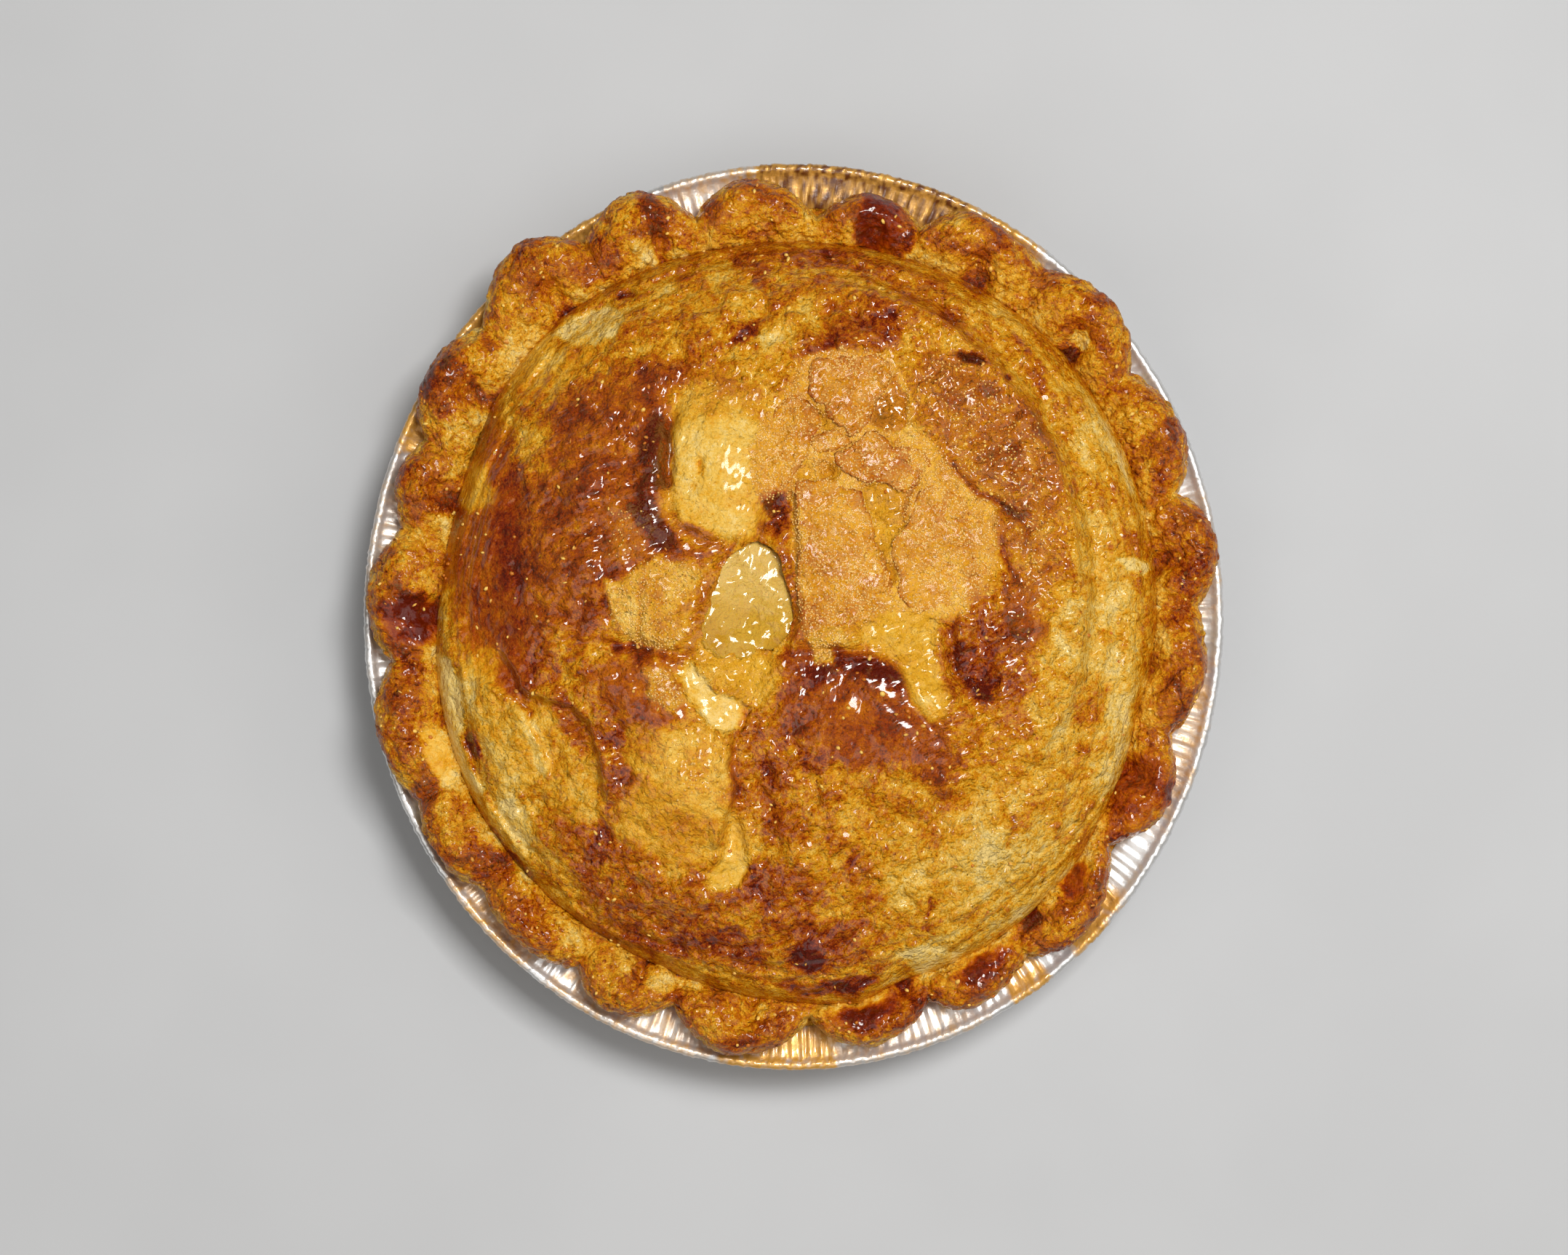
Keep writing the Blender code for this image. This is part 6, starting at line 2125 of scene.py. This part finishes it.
def build_scatter_tree(name, shape, shape_sizes):
    """A geometry tree that scatters one shape over a mesh, as thickly as it asks for."""
    inputs = {
        "Density": "NodeSocketFloat",
        "Seed": "NodeSocketInt",
        "Smallest": "NodeSocketVector",
        "Largest": "NodeSocketVector",
        "Material": "NodeSocketMaterial",
    }
    tree, maker, wire = new_geometry_tree(name, inputs)
    density = maker.named("thickly", "FLOAT") * wire["Density"]
    spots = {"Mesh": wire["Geometry"], "Density": density, "Seed": wire["Seed"]}
    points = maker.node("GeometryNodeDistributePointsOnFaces", spots, "Points")
    full_turn = (math.tau, math.tau, math.tau)
    turn = maker.random({"Max": full_turn, "Seed": 1})
    scale = maker.random({"Min": wire["Smallest"], "Max": wire["Largest"], "Seed": 2})
    one = maker.node(shape, shape_sizes, "Mesh")
    one = maker.node("GeometryNodeTriangulate", {"Mesh": one})
    copies = {"Points": points, "Instance": one, "Rotation": turn, "Scale": scale}
    grains = maker.node("GeometryNodeInstanceOnPoints", copies)
    grains = maker.node("GeometryNodeRealizeInstances", {"Geometry": grains})
    grains = maker.node("GeometryNodeSetMaterial", {"Geometry": grains, "Material": wire["Material"]})
    maker.node("NodeGroupOutput", {"Geometry": grains})
    return tree


def scatter_base(piece, thickness):
    """A copy of a piece's mesh that keeps how thickly things lie on its upper side."""
    mesh = bpy.data.objects[piece].data.copy()
    upward = ease((read_all(mesh.vertices, "normal", 3)[:, 2] - 0.25) / 0.3)
    store(mesh, "thickly", thickness(mesh) * upward)
    return mesh


def add_scattered(name, slot, places, seed, values, shape, shape_sizes):
    """Adds one piece of all the things of a kind scattered over several pieces."""
    meshes = []
    for number, (piece, thickness) in enumerate(places.items()):
        tree = build_scatter_tree(name, shape, shape_sizes)
        base = scatter_base(piece, thickness)
        meshes.append(run_geometry_tree(name, base, tree, {**values, "Seed": seed + number}))
    add_piece(name, join_meshes(meshes), values["Material"], None)


def grain_material(name, tint, other, roughness):
    """A plain dry material that changes a little from grain to grain."""
    material, maker = new_material(name)
    base = maker.mix(maker.ramp(maker.grain(0.0040, 2.0), 0.40, 0.60), tint, other)
    maker.finish({"Base Color": base, "Roughness": roughness})
    return material


class PIE_OT_sugar_grains(bpy.types.Operator):
    """Scatters grains of sugar over the sugared parts of the crust"""

    bl_idname = "pie.sugar_grains"
    bl_label = "Sugar Grains"

    def execute(self, context):
        look = context.scene.pie_scatter
        places = {
            "baked_lid": lambda mesh: ease((mark_of(mesh, "sugar") - 0.15) / 0.6),
            "crust_slabs": lambda mesh: 0.9 * mark_of(mesh, "sugar"),
        }
        width = look.sugar_width
        values = {
            "Density": float(look.sugar_density),
            "Smallest": (width * 0.6, width * 0.6, width * 0.6),
            "Largest": (width, width, width),
            "Material": grain_material("sugar", look.sugar_colour, context.scene.pie_crust.sugar, 0.25),
        }
        add_scattered("sugar_grains", "top_crust", places, look.seed, values, "GeometryNodeMeshCube", {})
        return {"FINISHED"}


class PIE_OT_crumbs(bpy.types.Operator):
    """Scatters small crumbs of pastry over the lid and the edge"""

    bl_idname = "pie.crumbs"
    bl_label = "Pastry Crumbs"

    def execute(self, context):
        look = context.scene.pie_scatter
        crust = context.scene.pie_crust
        places = {
            "baked_lid": lambda mesh: 0.3 + 0.7 * ease((mark_of(mesh, "bake") - 0.5) / 0.2),
            "crimped_lower_crust": lambda mesh: np.full(len(mesh.vertices), 1.0),
        }
        width = look.crumb_width
        values = {
            "Density": float(look.crumb_density),
            "Smallest": (width * 0.35, width * 0.35, width * 0.2),
            "Largest": (width, width * 0.8, width * 0.5),
            "Material": grain_material("crumb", crust.pale, crust.brown, 0.5),
        }
        seed = look.seed + CRUMB_SEED_STEP
        ball = ("GeometryNodeMeshIcoSphere", {"Radius": 1.0, "Subdivisions": 1})
        add_scattered("pastry_crumbs", "bottom_crust", places, seed, values, *ball)
        return {"FINISHED"}


# ---- Stage ---------------------------------------------------------------------------------------

CAMERA_PLACE = (-0.00246, -0.00274, 0.9935)
SENSOR_WIDTH = 36.0
KEY_PLACE = (0.33, 0.34, 1.48)
KEY_SIZE = 0.40
KEY_TINT = (1.0, 0.98, 0.95)
FILLS = {"fill_light": (-0.54, -0.52, 1.15), "side_light": (0.80, -0.10, 1.20)}
FILL_SIZE = 1.1
FILL_TINT = (1.0, 0.975, 0.94)
SURROUND_TINT = (1.0, 0.92, 0.80, 1.0)
LIGHT_TARGET = (0.0, 0.0, 0.04)


def add_area_light(name, place, size, power, tint):
    """Adds a square soft light that points at the pie."""
    light = bpy.data.lights.new(name, "AREA")
    light.size = size
    light.energy = power
    light.color = tint
    made = new_object(name, light)
    made.location = place
    towards = Vector(LIGHT_TARGET) - Vector(place)
    made.rotation_euler = towards.to_track_quat("-Z", "Y").to_euler()


class PIE_OT_stage(bpy.types.Operator):
    """Lays the floor and sets the lights and the camera"""

    bl_idname = "pie.stage"
    bl_label = "Stage"

    def execute(self, context):
        look = context.scene.pie_stage
        self.lay_floor(look)
        add_area_light("key_light", KEY_PLACE, KEY_SIZE, look.key_power, KEY_TINT)
        for name, place in FILLS.items():
            add_area_light(name, place, FILL_SIZE, look.fill_power, FILL_TINT)
        self.set_surround(context.scene, look)
        self.set_camera(context.scene, look)
        return {"FINISHED"}

    @staticmethod
    def lay_floor(look):
        """A plain pale floor with the faintest unevenness."""
        half = look.floor_size / 2
        corners = [(-half, -half, 0), (half, -half, 0), (half, half, 0), (-half, half, 0)]
        floor = new_object("floor", mesh_of(corners, [(0, 1, 2, 3)]))
        material, maker = new_material("pale_floor")
        cloudy = maker.ramp(maker.grain(0.12, 3.0), 0.3, 0.7)
        darker = tuple(0.95 * part for part in look.floor)
        base = maker.mix(cloudy, look.floor, darker)
        maker.finish({"Base Color": base, "Roughness": 0.7})
        floor.data.materials.append(material)

    @staticmethod
    def set_surround(scene, look):
        """Soft light from all round."""
        world = bpy.data.worlds.new("soft_surround")
        world.use_nodes = True
        background = world.node_tree.nodes["Background"]
        background.inputs["Color"].default_value = SURROUND_TINT
        background.inputs["Strength"].default_value = look.surround
        scene.world = world
        scene.view_settings.view_transform = "Standard"

    @staticmethod
    def set_camera(scene, look):
        """Straight above the pie, with the far side of the pie at the top of the picture."""
        camera = bpy.data.cameras.new("camera")
        camera.lens = look.lens / MM
        camera.sensor_width = SENSOR_WIDTH
        scene.camera = new_object("camera", camera)
        scene.camera.location = CAMERA_PLACE


# ---- The add-on ------------------------------------------------------------------------------------


class PIE_PT_panel(bpy.types.Panel):
    """Lists the pieces of the pie"""

    bl_idname = "PIE_PT_panel"
    bl_label = "Apple Pie"
    bl_space_type = "VIEW_3D"
    bl_region_type = "UI"
    bl_category = "Apple Pie"

    def draw(self, context):
        for operator in OPERATORS:
            self.layout.operator(operator.bl_idname)


LOOKS = {
    "pie_tin": TinLook,
    "pie_crust": CrustLook,
    "pie_filling": FillingLook,
    "pie_scatter": ScatterLook,
    "pie_stage": StageLook,
}
OPERATORS = (
    PIE_OT_stage,
    PIE_OT_foil_tin,
    PIE_OT_crimped_edge,
    PIE_OT_apple_filling,
    PIE_OT_lid,
    PIE_OT_crust_slabs,
    PIE_OT_sugar_grains,
    PIE_OT_crumbs,
)


def register():
    """Registers the classes and gives the scene its values."""
    for group in (*LOOKS.values(), *OPERATORS, PIE_PT_panel):
        bpy.utils.register_class(group)
    for name, group in LOOKS.items():
        setattr(bpy.types.Scene, name, bpy.props.PointerProperty(type=group))


def unregister():
    """Takes away what register added."""
    for name in LOOKS:
        delattr(bpy.types.Scene, name)
    for group in (*LOOKS.values(), *OPERATORS, PIE_PT_panel):
        bpy.utils.unregister_class(group)


def main():
    """Builds every piece."""
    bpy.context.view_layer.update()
    register()
    for operator in OPERATORS:
        module, name = operator.bl_idname.split(".")
        getattr(getattr(bpy.ops, module), name)()


if __name__ == "__main__":
    main()
